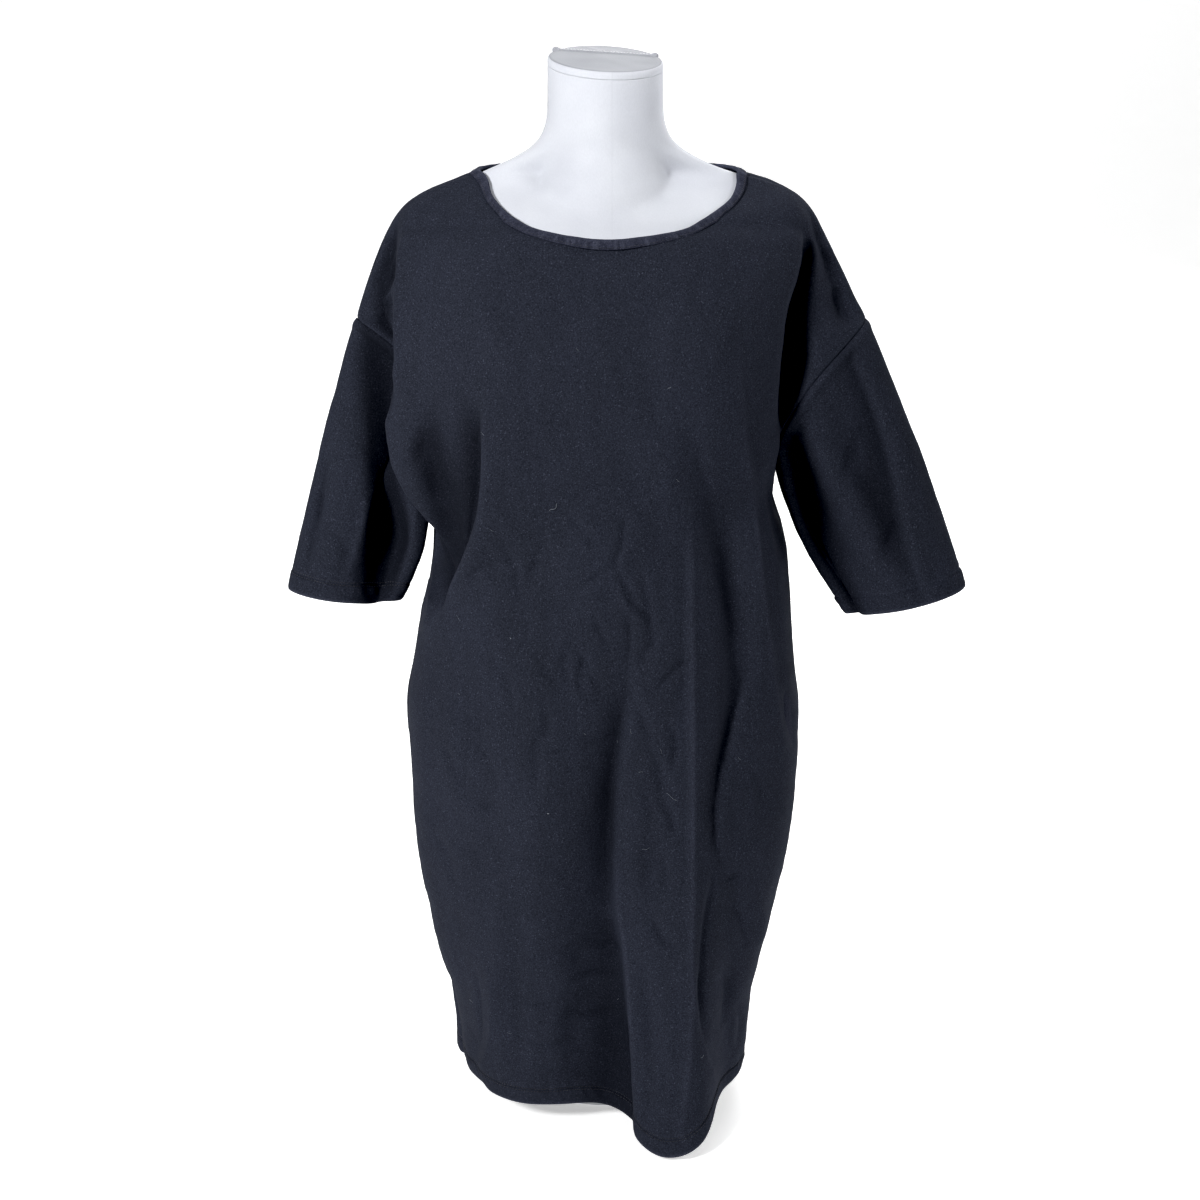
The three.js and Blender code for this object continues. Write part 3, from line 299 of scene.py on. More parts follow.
     11, 14, -9.0, 2.1),
    ([(-194, 872), (-202, 857), (-211, 843), (-223, 830)], 3, 3, 3.0, 1.4),
    ([(-203, 898), (-209, 884), (-216, 866)], 3, 3, 1.6, 1.4),
    ([(-226, 880), (-231, 856), (-235, 832)], 5, 5, 1.4, 1.6),
    ([(190, 942), (197, 924), (206, 900), (216, 874), (226, 848), (236, 814)], 4, 9, -4.0, 1.3),
    ([(198, 936), (209, 906), (221, 876), (234, 846), (243, 822)], 5, 5, 1.6, 1.5),
    ([(219, 858), (226, 842), (232, 824)], 6, 6, -3.0, 1.5),
    ([(187, 938), (188, 905), (186, 870), (182, 836)], 4, 3, -1.8, 1.4),
    ([(186, 866), (181, 836), (176, 806), (171, 768), (166, 728)], 7, 8, -2.4, 1.7),
    ([(199, 905), (195, 870), (191, 835), (188, 800)], 5, 5, 3.0, 1.5),
]
BACK_CREASES = [
    ([(-120, 800), (-112, 700), (-118, 600), (-134, 500), (-140, 420)], 14, 9, 2.4, 1.4),
    ([(-100, 720), (-98, 620), (-106, 520)], 10, 12, -2.2, 1.7),
    ([(-30, 640), (-24, 520), (-22, 420), (-28, 300), (-30, 200)], 14, 9, -3.2, 1.4),
    ([(-10, 560), (-4, 460), (-8, 360)], 8, 10, 1.5, 1.7),
    ([(36, 700), (40, 560), (44, 420), (40, 260), (44, 120), (40, 24)], 7, 9, 2.3, 1.25),
    ([(70, 620), (76, 500), (72, 380)], 12, 10, -1.8, 1.8),
    ([(120, 760), (112, 640), (120, 520), (136, 420)], 9, 13, 2.2, 1.4),
    ([(98, 700), (96, 600), (104, 480), (108, 380)], 9, 7, -3.0, 1.45),
    ([(150, 640), (160, 560), (166, 500)], 6, 6, -1.8, 1.6),
    ([(-152, 660), (-160, 590), (-168, 520)], 6, 6, -1.8, 1.6),
    ([(0, 700), (10, 672), (6, 640)], 6, 6, -1.2, 1.6),
    ([(-46, 668), (-26, 650), (-8, 656)], 6, 5, -1.1, 1.7),
    ([(44, 664), (24, 646), (10, 652)], 6, 5, -1.2, 1.7),
    ([(-60, 612), (-30, 600), (6, 606), (40, 596)], 9, 8, -1.0, 1.9),
    ([(-110, 880), (-80, 840), (-64, 790), (-60, 740)], 14, 12, 1.4, 1.9),
    ([(112, 884), (84, 846), (66, 800), (64, 750)], 12, 14, 1.3, 1.9),
    ([(-4, 930), (2, 880), (-6, 820)], 20, 20, -0.9, 2),
    ([(-176, 860), (-182, 820), (-186, 780), (-180, 730)], 7, 8, -2.4, 1.6),
    ([(176, 862), (180, 822), (186, 784), (180, 734)], 8, 7, -2.4, 1.6),
    ([(-196, 880), (-204, 850), (-214, 826)], 5, 6, 1.8, 1.4),
    ([(196, 882), (206, 850), (216, 824)], 6, 5, 1.8, 1.4),
    ([(-96, 330), (-104, 240), (-100, 120), (-104, 24)], 8, 10, 2.0, 1.35),
    ([(-72, 300), (-66, 200), (-72, 100)], 9, 9, -2.0, 1.7),
    ([(-34, 210), (-36, 120), (-32, 30)], 9, 9, -2.4, 1.6),
    ([(10, 240), (14, 140), (8, 40)], 10, 8, 1.4, 1.8),
    ([(92, 300), (96, 190), (90, 80), (94, 26)], 8, 8, -2.6, 1.5),
    ([(130, 330), (128, 240), (120, 150), (122, 40)], 8, 9, 2.0, 1.5),
    ([(-140, 300), (-146, 200), (-140, 60)], 7, 8, 1.8, 1.5),
    ([(-152, 480), (-142, 462), (-138, 440)], 6, 6, -1.4, 1.7),
    ([(154, 470), (142, 454), (136, 430)], 6, 6, -1.3, 1.7),
]
# Paths on a sleeve are (round the arm from its top by way of the front, down it).
SLEEVE_CREASES = {
    "left": [
        ([(22, 4), (30, 60), (38, 130), (46, 200), (50, 268)], 12, 16, 1.8, 1.8),
        ([(64, 30), (58, 90), (60, 160), (66, 230), (64, 272)], 8, 12, -2.2, 1.6),
        ([(30, 30), (40, 80), (54, 130), (70, 190), (72, 250)], 8, 9, 2.0, 1.5),
        ([(18, -80), (37, 10), (52, 60), (70, 104), (93, 150), (107, 200), (115, 330)], 22, 14,
         -15.0, 1.8),
        ([(16, 110), (22, 160), (28, 210), (32, 266)], 6, 8, -3.6, 1.6),
        ([(134, 10), (136, 60), (138, 120), (136, 260)], 9, 9, 2.6, 1.6),
        ([(36, 186), (54, 200), (72, 222)], 6, 6, -1.3, 1.7),
        ([(40, 96), (56, 112), (70, 134)], 7, 6, -1.1, 1.8),
        ([(8, 150), (20, 170), (30, 196)], 7, 6, -0.9, 1.8),
        ([(30, 236), (44, 246), (56, 262)], 5, 5, -1.0, 1.7),
        ([(170, 10), (176, 80), (172, 150), (178, 240)], 9, 10, -2.2, 1.7),
        ([(200, 4), (206, 90), (200, 180), (206, 266)], 10, 9, 2.0, 1.5),
        ([(232, 20), (228, 100), (236, 180), (232, 260)], 10, 9, -2.0, 1.8),
        ([(262, 6), (266, 100), (262, 200)], 12, 10, 1.4, 1.9),
        ([(222, 200), (238, 214), (254, 236)], 6, 6, -1.1, 1.7),
    ],
    "right": [
        ([(34, -60), (38, 10), (39, 60), (42, 100), (48, 140), (58, 200), (62, 300)], 4, 34,
         -4.2, 1.5),
        ([(22, 2), (25, 60), (28, 120), (32, 190), (38, 266)], 8, 8, 1.8, 1.7),
        ([(62, 20), (68, 90), (62, 160), (68, 232)], 10, 12, -2.0, 1.7),
        ([(86, 2), (82, 60), (88, 120), (92, 190), (88, 262)], 7, 8, 1.9, 1.5),
        ([(112, -60), (112, 40), (116, 100), (120, 150), (126, 220), (128, 330)], 17, 11,
         -12.0, 1.7),
        ([(128, 10), (130, 70), (136, 140), (144, 220)], 9, 8, 2.0, 1.6),
        ([(44, 170), (60, 184), (80, 208)], 6, 6, -1.4, 1.7),
        ([(50, 70), (66, 92), (84, 108)], 6, 7, -1.2, 1.8),
        ([(22, 214), (38, 232), (50, 248)], 6, 5, -1.0, 1.8),
        ([(170, 8), (174, 90), (170, 180), (176, 250)], 10, 9, -2.2, 1.7),
        ([(204, 6), (198, 90), (204, 180), (198, 262)], 9, 10, 2.0, 1.5),
        ([(236, 10), (240, 100), (234, 190), (238, 262)], 9, 10, -2.0, 1.8),
        ([(268, 6), (264, 110), (268, 200)], 10, 12, 1.4, 1.9),
        ([(226, 120), (244, 138), (258, 162)], 6, 6, -1.1, 1.7),
    ],
}
SLEEVE_AROUND = 150     # a turn of 1 round a sleeve, in crease millimetres
SLEEVE_ALONG = 270      # and a drop of 1

# ---- Meshes' fineness, cloth and sewing ----
SIDES = ("left", "right")
FACES = ("front", "back")
HALF_COLUMNS = [50, 30, 14, 10, 10]     # columns between the column lines of a half panel
EDGE_COLUMNS = [4.93, 4.96, 4.985]      # extra ones beside a seam
TURN_UP_TOP = 56        # a panel's rows lie closest below this height, in its hem
TURN_UP_ROWS = 20
SKIRT_ROWS = 211        # from there to the underarm
ARMHOLE_STEPS = 38
FIRST_ARMHOLE_ROW = TURN_UP_ROWS + SKIRT_ROWS
SHOULDER_BEND = 940     # and they lie closer again from here up
PANEL_SMOOTHING = (2.0, 1.9)    # along a column and along a row, in grid steps
SLEEVE_SMOOTHING = (1.6, 1.6)
SLEEVE_RADIUS = 48      # of the circle on which a sleeve's waves are drawn
CLOTH = 1.6
HEM_WIDTH = 18
CUFF_WIDTH = 19
HEM_PLY = 1.1           # the turned hem is thicker by this much on the inside
BAND_WIDTH = 9
SEAM_SINK = 1.5         # how far a seam's edges turn in
RANDOM_SEED = 11
PAINTED_SHADE_DEPTHS = (2.2, 12)  # painted shade begins in a fold this deep, and is full in one this deep
PAINTED_SHADE_TONE = 0.56     # the cloth's colour is multiplied by this where the painted shade is full
CREASE_DEPTH = 1.8      # every crease's strength is multiplied by this
BACK_CREASE_SHARE = 0.55    # the back lies nearer the form, so its creases go in less
VALLEY_PLY = 0.1        # the inner side drops back in a valley by this share of its depth
THICKEST = 4            # on a crease's wall the cloth counts as at most this much thicker
SHORTEST_STEP = 0.2     # and a grid's step as no shorter than this
CREASE_REACH = 3.2      # a crease is worked out to this many of its widths
CREASE_FINENESS = 5     # pieces of a crease's line for each point of its path
CREASE_ENDS = 0.7       # lower makes a crease keep its strength nearer its ends
HEM_DROP = (0.3, 60)    # share of a fold's depth by which it hangs lower, gone by this height
CUFF_DROP = (0.32, 50)

# Stitches: pitch, length and lift off the cloth.
HEM_STITCH = (3.3, 2.5, 0.12)
MOUTH_STITCH = (3.4, 2.6, 0.12)
BAR_STITCH = (1.5, 1.4, 0.2)
BAND_STITCH = (2.9, 2.2, 0.1)
CAP_STITCH = (3.1, 2.5, 0.0)
THREAD = 0.3            # its radius in the cloth, then in the neck band and the cap
BAND_THREAD = 0.26
CAP_THREAD = 0.42
ROWS_APART = 1.6        # two rows of stitches lie this far either side of a hem's line
MOUTH_ROWS = (8, 14)    # rows of topstitching beside a pocket mouth
BAR_SHIFTS = (-0.5, 0, 0.5)


# ---- Smooth curves through table values ----

def slopes(x, y):
    step = np.diff(y) / np.diff(x)
    before, after = step[:-1], step[1:]
    total = np.where(before + after == 0, 1, before + after)
    inner = np.where(before * after > 0, 2 * before * after / total, 0)
    return np.concatenate([step[:1], inner, step[-1:]])


def curve(x, y, at):
    """A smooth curve through (x, y) that never overshoots its knots, held level at its ends."""
    x, y = np.asarray(x, float), np.asarray(y, float)
    m = slopes(x, y)
    place = np.clip(at, x[0], x[-1])
    i = np.clip(np.searchsorted(x, place) - 1, 0, len(x) - 2)
    span = x[i + 1] - x[i]
    s = (place - x[i]) / span
    return ((1 + 2 * s) * (1 - s) ** 2 * y[i] + s * (1 - s) ** 2 * span * m[i]
            + s * s * (3 - 2 * s) * y[i + 1] + s * s * (s - 1) * span * m[i + 1])


def at_height(table, column, z):
    """A column of a table whose rows begin with a height, read at height z."""
    return curve(table[:, 0], table[:, column], z)


def fade(start, end, at):
    s = np.clip((at - start) / (end - start), 0, 1)
    return s * s * (3 - 2 * s)


def unit(vectors):
    length = np.linalg.norm(vectors, axis=-1, keepdims=True)
    return vectors / np.maximum(length, 1e-9)


def bell(distance, width, middle=0):
    """1 at the middle, falling off smoothly within about two widths of it."""
    return np.exp(-((distance - middle) / width) ** 2)


def through_points(points, u):
    """Points at parameter u on a centripetal curve through the rows of points."""
    last = len(points) - 1
    i = np.clip(np.floor(u).astype(int), 0, last - 1)

    def pick(k):
        index = np.broadcast_to(np.clip(i + k, 0, last)[None, ..., None], (1,) + points.shape[1:])
        return np.take_along_axis(points, index, 0)[0]

    near = [pick(k) for k in (-1, 0, 1, 2)]
    knots = [np.zeros(u.shape)]
    for a, b in zip(near, near[1:]):
        step = np.hypot(*np.moveaxis(b - a, -1, 0))
        knots.append(knots[-1] + np.maximum(np.sqrt(step), 1e-3))
    t = knots[1] + (u - i) * (knots[2] - knots[1])

    def mix(a, b, t0, t1):
        share = ((t - t0) / (t1 - t0))[..., None]
        return a * (1 - share) + b * share

    a1 = mix(near[0], near[1], knots[0], knots[1])
    a2 = mix(near[1], near[2], knots[1], knots[2])
    a3 = mix(near[2], near[3], knots[2], knots[3])
    b1 = mix(a1, a2, knots[0], knots[2])
    b2 = mix(a2, a3, knots[1], knots[3])
    return mix(b1, b2, knots[1], knots[2])


# ---- The dress's surfaces, as in the CAD ----

ARMHOLE_MIDDLE = (ARMHOLE_TOP + UNDERARM) / 2
ARMHOLE_HALF = (ARMHOLE_TOP - UNDERARM) / 2
SIGN = {"left": -1, "right": 1, "front": -1, "back": 1}


def armhole_point(side, turn):
    """Turn 0 is the top of the armhole, 0.5 its front, 1 the underarm and 1.5 its back."""
    hole = ARMHOLE[side]
    front = turn <= 1
    cosine = np.cos(turn * np.pi)
    draw = np.where(front, hole["draw"][0], hole["draw"][1])
    depth = np.where(front, hole["front"], hole["back"])
    reach = hole["under"] + (hole["top"] - hole["under"]) * ((1 + cosine) / 2) ** draw
    return np.stack([SIGN[side] * reach, -depth * np.sin(turn * np.pi),
                     ARMHOLE_MIDDLE + ARMHOLE_HALF * cosine], -1)


def edge_point(face, side, z):
    cosine = np.clip((z - ARMHOLE_MIDDLE) / ARMHOLE_HALF, -1, 1)
    turn = np.arccos(cosine) / np.pi
    at_armhole = armhole_point(side, turn if face == "front" else 2 - turn)[..., :2]
    reach = SIGN[side] * at_height(BODY, BODY_COLUMN[side], z)
    at_seam = np.stack([reach, np.zeros_like(reach)], -1)
    inside = (z > UNDERARM) & (z < ARMHOLE_TOP)
    return np.where(inside[..., None], at_armhole, at_seam)


def column_rows(face, side):
    tuck = TUCK[face, side]
    lowest, highest = tuck[0][0], tuck[-1][0]
    rows = [list(map(float, row)) for row in tuck]
    for row in BODY:
        if lowest - TUCK_CLEAR <= row[0] <= highest + TUCK_CLEAR:
            continue
        share, square = SKIRT_SECTION if row[0] < lowest else SHOULDER_SECTION
        made = [row[0]]
        for part in share:
            angle = part * math.pi / 2
            made.append(row[BODY_COLUMN[side]] * math.sin(angle) ** (2 / square))
            made.append(row[BODY_COLUMN[face]] * math.cos(angle) ** (2 / square))
        rows.append(made)
    return np.array(sorted(rows))


ROWS = {key: column_rows(*key) for key in TUCK}


def section_points(face, z):
    """The eleven plan points of a panel's level section at each height."""
    halves = {}
    for side in SIDES:
        rows = ROWS[face, side]
        halves[side] = [np.stack([
            SIGN[side] * at_height(rows, 1 + 2 * line, z),
            SIGN[face] * at_height(rows, 2 + 2 * line, z)], -1) for line in range(4)]
        halves[side].append(edge_point(face, side, z))
    depth = SIGN[face] * at_height(BODY, BODY_COLUMN[face], z)
    centre = np.stack([np.zeros_like(depth), depth], -1)
    return np.stack(halves["left"][::-1] + [centre] + halves["right"])


def fold_out(face, x, z):
    out = np.zeros_like(x)
    for at, heights, strength, left, right, flat in FOLDS[face]:
        heights = heights[::-1]
        beside = x - curve(heights, at[::-1], z)
        width = np.where(beside < 0, left, right)
        above = 1 - fade(heights[-1], heights[-1] + FOLD_FADE, z)
        out += (curve(heights, strength[::-1], z) * above
                * np.exp(-np.abs(beside / width) ** flat))
    return out


def panel_points(face, u, level):
    """Points on the outside of a panel, for grids of u (-5 left edge, 5 right edge) and level."""
    reach = np.abs(u)
    neck = np.where(u < 0, curve(range(6), NECKLINE[face, "left"], reach),
                    curve(range(6), NECKLINE[face, "right"], reach))
    z = np.where(level > CHEST,
                 CHEST + (level - CHEST) * (neck - CHEST) / (SHOULDER_POINT - CHEST), level)
    points = section_points(face, z)
    at = through_points(points, u + 5)
    before = through_points(points, np.maximum(u + 4.98, 0))
    after = through_points(points, np.minimum(u + 5.02, 10))
    along = unit(after - before)
    out = fold_out(face, at[..., 0], z) * fade(0, FOLD_HOLD, 5 - reach)
    turned = -SIGN[face]
    x = at[..., 0] + turned * out * along[..., 1]
    y = at[..., 1] - turned * out * along[..., 0]
    if face == "back":
        z = z + BACK_LIFT * y * fade(CHEST, SHOULDER_POINT, level)
    else:
        dip = bell(x, HEM_DIP["width"], HEM_DIP["at"])
        z = z - HEM_DIP["depth"] * dip * (1 - fade(HEM, HEM_DIP["fades_by"], level))
    return np.stack([x, y, z], -1)


def sleeve_points(side, turn, drop):
    """Points on the outside of a sleeve: drop is 0 at the armhole and 1 at the cuff."""
    sleeve = SLEEVE[side]
    share = (1 + np.cos(turn * np.pi)) / 2
    (outer_x, outer_z), (inner_x, inner_z) = sleeve["outer"], sleeve["inner"]
    cuff = np.stack([SIGN[side] * (inner_x + (outer_x - inner_x) * share),
                     -sleeve["depth"] * np.sin(turn * np.pi),
                     inner_z + (outer_z - inner_z) * share], -1)
    start = armhole_point(side, turn)
    point = start + (cuff - start) * drop[..., None]
    cosine = np.cos(turn * np.pi)
    point[..., 0] += (SIGN[side] * sleeve["bow"][0] * np.sin(np.pi * drop)
                      * np.maximum(cosine, 0) ** 2)
    point[..., 0] -= (SIGN[side] * sleeve["bow"][1] * np.sin(np.pi * drop ** sleeve["late"])
                      * np.maximum(-cosine, 0) ** 2)
    for at, width, tuck, first, last in SLEEVE_FOLDS[side]:
        strength = np.sin(np.pi * fade(first, last, drop))
        point[..., 1] += tuck * strength * bell(turn, width, at)
    return point


# ---- Grids of points ----

def smoothed(grid, sigma, axis, ring=False):
    """Gaussian smoothing along one axis. The ends of an open axis stay where they are."""
    reach = int(3 * sigma) + 1
    weights = np.exp(-0.5 * (np.arange(-reach, reach + 1) / sigma) ** 2)
    weights /= weights.sum()
    moved = np.moveaxis(grid, axis, 0)
    if ring:
        padded = np.concatenate([moved[-reach:], moved, moved[:reach]])
    else:
        low = 2 * moved[:1] - moved[1:reach + 1][::-1]
        high = 2 * moved[-1:] - moved[-reach - 1:-1][::-1]
        padded = np.concatenate([low, moved, high])
    count = len(moved)
    total = sum(w * padded[k:k + count] for k, w in enumerate(weights))
    return np.moveaxis(total, 0, axis)


def softened(grid, down, across, ring=False):
    """A grid smoothed along its columns and then along its rows."""
    return smoothed(smoothed(grid, down, 0), across, 1, ring)


def round_angles(sides):
    return 2 * np.pi * np.arange(sides) / sides


def grid_normals(grid, flip, ring=False):
    if ring:
        wide = np.concatenate([grid[:, -1:], closed(grid)], 1)
        along = (wide[:, 2:] - wide[:, :-2]) / 2
    else:
        along = np.gradient(grid, axis=1)
    up = np.gradient(grid, axis=0)
    return unit(np.cross(along, up)) * (-1 if flip else 1)


def arc_lengths(grid, axis):
    steps = np.linalg.norm(np.diff(grid, axis=axis), axis=-1)
    total = np.cumsum(steps, axis=axis)
    first = np.zeros_like(np.take(total, [0], axis=axis))
    return np.concatenate([first, total], axis=axis)


def crease_out(x, z, creases, wrap=None):
    """How far the creases move each point out. Their strength dies out at both ends."""
    out = np.zeros_like(x)
    for path, left, right, strength, sharp in creases:
        points = np.array(path, float)
        knots = np.concatenate([[0], np.cumsum(np.hypot(*np.diff(points, axis=0).T))])
        fine = np.linspace(0, knots[-1], CREASE_FINENESS * len(points))
        line = np.stack([curve(knots, points[:, 0], fine), curve(knots, points[:, 1], fine)], -1)
        margin = CREASE_REACH * max(left, right)
        low, high = line.min(0) - margin, line.max(0) + margin
        px = x if wrap is None else (x - low[0]) % wrap + low[0]
        near = (px > low[0]) & (px < high[0]) & (z > low[1]) & (z < high[1])
        if not near.any():
            continue
        p = np.stack([px[near], z[near]], -1)
        best = np.full(len(p), 1e9)
        signed = np.zeros(len(p))
        place = np.zeros(len(p))
        for k in range(len(line) - 1):
            step = line[k + 1] - line[k]
            length = np.hypot(*step)
            share = np.clip(((p - line[k]) @ step) / length ** 2, 0, 1)
            gap = p - line[k] - share[:, None] * step
            distance = np.hypot(*gap.T)
            closer = distance < best
            cross = step[0] * gap[:, 1] - step[1] * gap[:, 0]
            best = np.where(closer, distance, best)
            signed = np.where(closer, np.sign(cross) * distance, signed)
            place = np.where(closer, (fine[k] + share * length) / knots[-1], place)
        width = np.where(signed > 0, left, right)
        ends = np.sin(np.pi * np.clip(place, 0, 1)) ** CREASE_ENDS
        out[near] += strength * ends * np.exp(-(np.abs(signed) / width) ** sharp)
    return CREASE_DEPTH * out


def waves(seed, x, z, size, stretch=1.0, count=24):
    """Soft irregular waves, about -1 to 1, of a size across and stretched down the cloth."""
    random = np.random.default_rng(seed)
    total = np.zeros_like(x)
    for _ in range(count):
        angle, phase = random.uniform(0, 2 * np.pi, 2)
        length = size * random.uniform(0.7, 1.5)
        total += np.sin(2 * np.pi * (x * np.cos(angle) + z * np.sin(angle) / stretch) / length
                        + phase)
    return total / math.sqrt(count)


def sewn_hem(along, up, width, seed):
    """Out-movement of a turned and stitched hem, up being the distance from its edge."""
    groove = -0.9 * bell(up, 1.5, width)
    ply = 0.55 * (1 - fade(width - 2.5, width + 0.5, up))
    edge = -0.7 * bell(up, 1.6)
    slant = along + 0.45 * up
    pucker = waves(seed, slant, 0 * up, 10, count=8) * bell(up, 6, width * 0.72)
    above = waves(seed + 1, along, 0 * up, 13, count=8) * bell(up - width, 4, 5)
    return groove + ply + edge + 0.55 * pucker + 0.3 * above


def way_through(out, base):
    """How much further the cloth's inner side lies along the normal on a crease's steep wall."""
    rise = [np.gradient(out, axis=axis) / np.maximum(
        np.linalg.norm(np.gradient(base, axis=axis), axis=-1), SHORTEST_STEP) for axis in (0, 1)]
    return np.minimum(np.sqrt(1 + rise[0] ** 2 + rise[1] ** 2), THICKEST)


def thickness(out, base, up, width):
    """The cloth's thickness along the normal: more in a hem, in a valley and on a steep wall."""
    hem = 1 - fade(width - 2, width + 1, up)
    return (CLOTH * way_through(out, base) + HEM_PLY * hem
            + VALLEY_PLY * np.maximum(-out, 0))[..., None]


def worn_edges(up, width, distance):
    """Paler where it rubs: a hem's edge, the line above its stitches, and beside a seam."""
    return (0.55 * bell(up, 2.2) + 0.10 * bell(distance, 2.5, 4)
            + 0.12 * bell(up - width, 1.5, 2.5))


def seam_roll(distance):
    """Beside a seam the cloth turns in, after a slight swell."""
    return -SEAM_SINK * bell(distance, 2.4) + 0.5 * bell(distance, 3.5, 7)


# ---- Blender helpers ----

def closed(grid):
    """A ring's grid with its first column again after its last."""
    return np.concatenate([grid, grid[:, :1]], 1)


def cells(at):
    """The four corners of every cell of a grid of vertex numbers."""
    return np.stack([at[:-1, :-1], at[:-1, 1:], at[1:, 1:], at[1:, :-1]], -1).reshape(-1, 4)


def tube_faces(first, rings, sides):
    """Faces of a tube whose vertices start at first, with a lid on both ends."""
    at = first + np.arange(rings * sides).reshape(rings, sides)
    return cells(closed(at)).tolist() + [at[0, ::-1].tolist(), at[-1].tolist()]


def add_mesh(name, vertices, faces, material, uvs=None, wear_and_painted_light=None):
    mesh = bpy.data.meshes.new(name)
    mesh.from_pydata((np.asarray(vertices) * MM).tolist(), [], faces)
    mesh.validate()
    mesh.polygons.foreach_set("use_smooth", [True] * len(mesh.polygons))
    if uvs is not None:
        layer = mesh.uv_layers.new(name="cloth")
        corners = np.zeros(len(mesh.loops), int)
        mesh.loops.foreach_get("vertex_index", corners)
        layer.data.foreach_set("uv", (np.asarray(uvs)[corners] * MM).ravel())
    # This attribute holds rub wear and a painted ridge highlight above zero, and painted fold
    # shade below zero.
    if wear_and_painted_light is not None:
        attribute = mesh.attributes.new("wear_and_painted_light", "FLOAT", "POINT")
        attribute.data.foreach_set("value", np.clip(np.asarray(wear_and_painted_light).ravel(), -1, 1))
    mesh.update()
    piece = bpy.data.objects.new(name, mesh)
    bpy.context.scene.collection.objects.link(piece)
    mesh.materials.append(material)
    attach(piece, "root")
    return piece


def shell(name, outer, inner, material, ring=False, uvs=None, wear_and_painted_light=None):
    """A closed cloth shell, its inner side with half of the outer side's rows and columns."""
    few = inner[::2, ::2]
    outer_count, few_count = outer[..., 0].size, few[..., 0].size
    at = np.arange(outer_count).reshape(outer.shape[:2])
    under = outer_count + np.arange(few_count).reshape(few.shape[:2])
    if ring:
        at, under = closed(at), closed(under)
    faces = cells(at).tolist() + cells(under)[:, ::-1].tolist()
    edges = [(at[0], under[0]), (at[-1, ::-1], under[-1, ::-1])]
    if not ring:
        edges += [(at[::-1, 0], under[::-1, 0]), (at[:, -1], under[:, -1])]
    for fine, thin in edges:
        for k in range(len(thin) - 1):
            faces.append([fine[2 * k], thin[k], thin[k + 1], fine[2 * k + 2], fine[2 * k + 1]])
    vertices = np.concatenate([outer.reshape(-1, 3), few.reshape(-1, 3)])
    if uvs is not None:
        uvs = np.concatenate([uvs.reshape(-1, 2), uvs[::2, ::2].reshape(-1, 2)])
    if wear_and_painted_light is not None:
        wear_and_painted_light = np.concatenate([wear_and_painted_light.ravel(), np.zeros(few_count)])
    return add_mesh(name, vertices, faces, material, uvs, wear_and_painted_light)


class Paint:
    """A Principled material and short ways to add its nodes."""

    def __init__(self, name, **values):
        self.material = bpy.data.materials.new(name)
        self.material.use_nodes = True
        self.tree = self.material.node_tree
        self.shader = self.tree.nodes["Principled BSDF"]
        for key, value in values.items():
            self.shader.inputs[key.replace("_", " ")].default_value = value
        self.place = self.tree.nodes.new("ShaderNodeTexCoord").outputs["Object"]

    def add(self, kind, inputs=(), out=0, **settings):
        node = self.tree.nodes.new("ShaderNode" + kind)
        for key, value in settings.items():
            setattr(node, key, value)
        for key, value in dict(inputs).items():
            if isinstance(value, bpy.types.NodeSocket):
                self.tree.links.new(value, node.inputs[key])
            else:
                node.inputs[key].default_value = value
        return node.outputs[out]

    def noise(self, size, detail=2.0, rough=0.5, stretch=(1, 1, 1)):
        """Noise whose grains are about size metres, stretched along each axis."""
        scaled = self.add("VectorMath", {0: self.place, 1: [1 / (size * s) for s in stretch]},
                          operation="MULTIPLY")
        return self.add("TexNoise", {"Vector": scaled, "Scale": 1.0, "Detail": detail,
                                     "Roughness": rough})

    def math(self, operation, a, b=0.0, clamp=False):
        return self.add("Math", {0: a, 1: b}, operation=operation, use_clamp=clamp)

    def mix(self, share, a, b, blend="MIX"):
        return self.add("Mix", {0: share, 6: a, 7: b}, out=2, data_type="RGBA", blend_type=blend)

    def shaded(self, colour, tone):
        """The colour multiplied by a tone."""
        grey = self.add("CombineColor", {0: tone, 1: tone, 2: tone})
        return self.mix(1.0, colour, grey, "MULTIPLY")

    def between(self, value, low, high, to_low=0.0, to_high=1.0):
        return self.add("MapRange", {0: value, 1: low, 2: high, 3: to_low, 4: to_high})

    def link(self, value, socket):
        self.tree.links.new(value, self.shader.inputs[socket])

    def bump(self, height, strength, depth, under=None):
        inputs = {"Height": height, "Strength": strength, "Distance": depth}
        if under is not None:
            inputs["Normal"] = under
        return self.add("Bump", inputs)


def rgb(red, green, blue):
    """An sRGB colour of 0 to 255 as a linear one."""
    def linear(value):
        value /= 255
        return value / 12.92 if value <= 0.04045 else ((value + 0.055) / 1.055) ** 2.4
    return (linear(red), linear(green), linear(blue), 1)


# ---- Materials ----

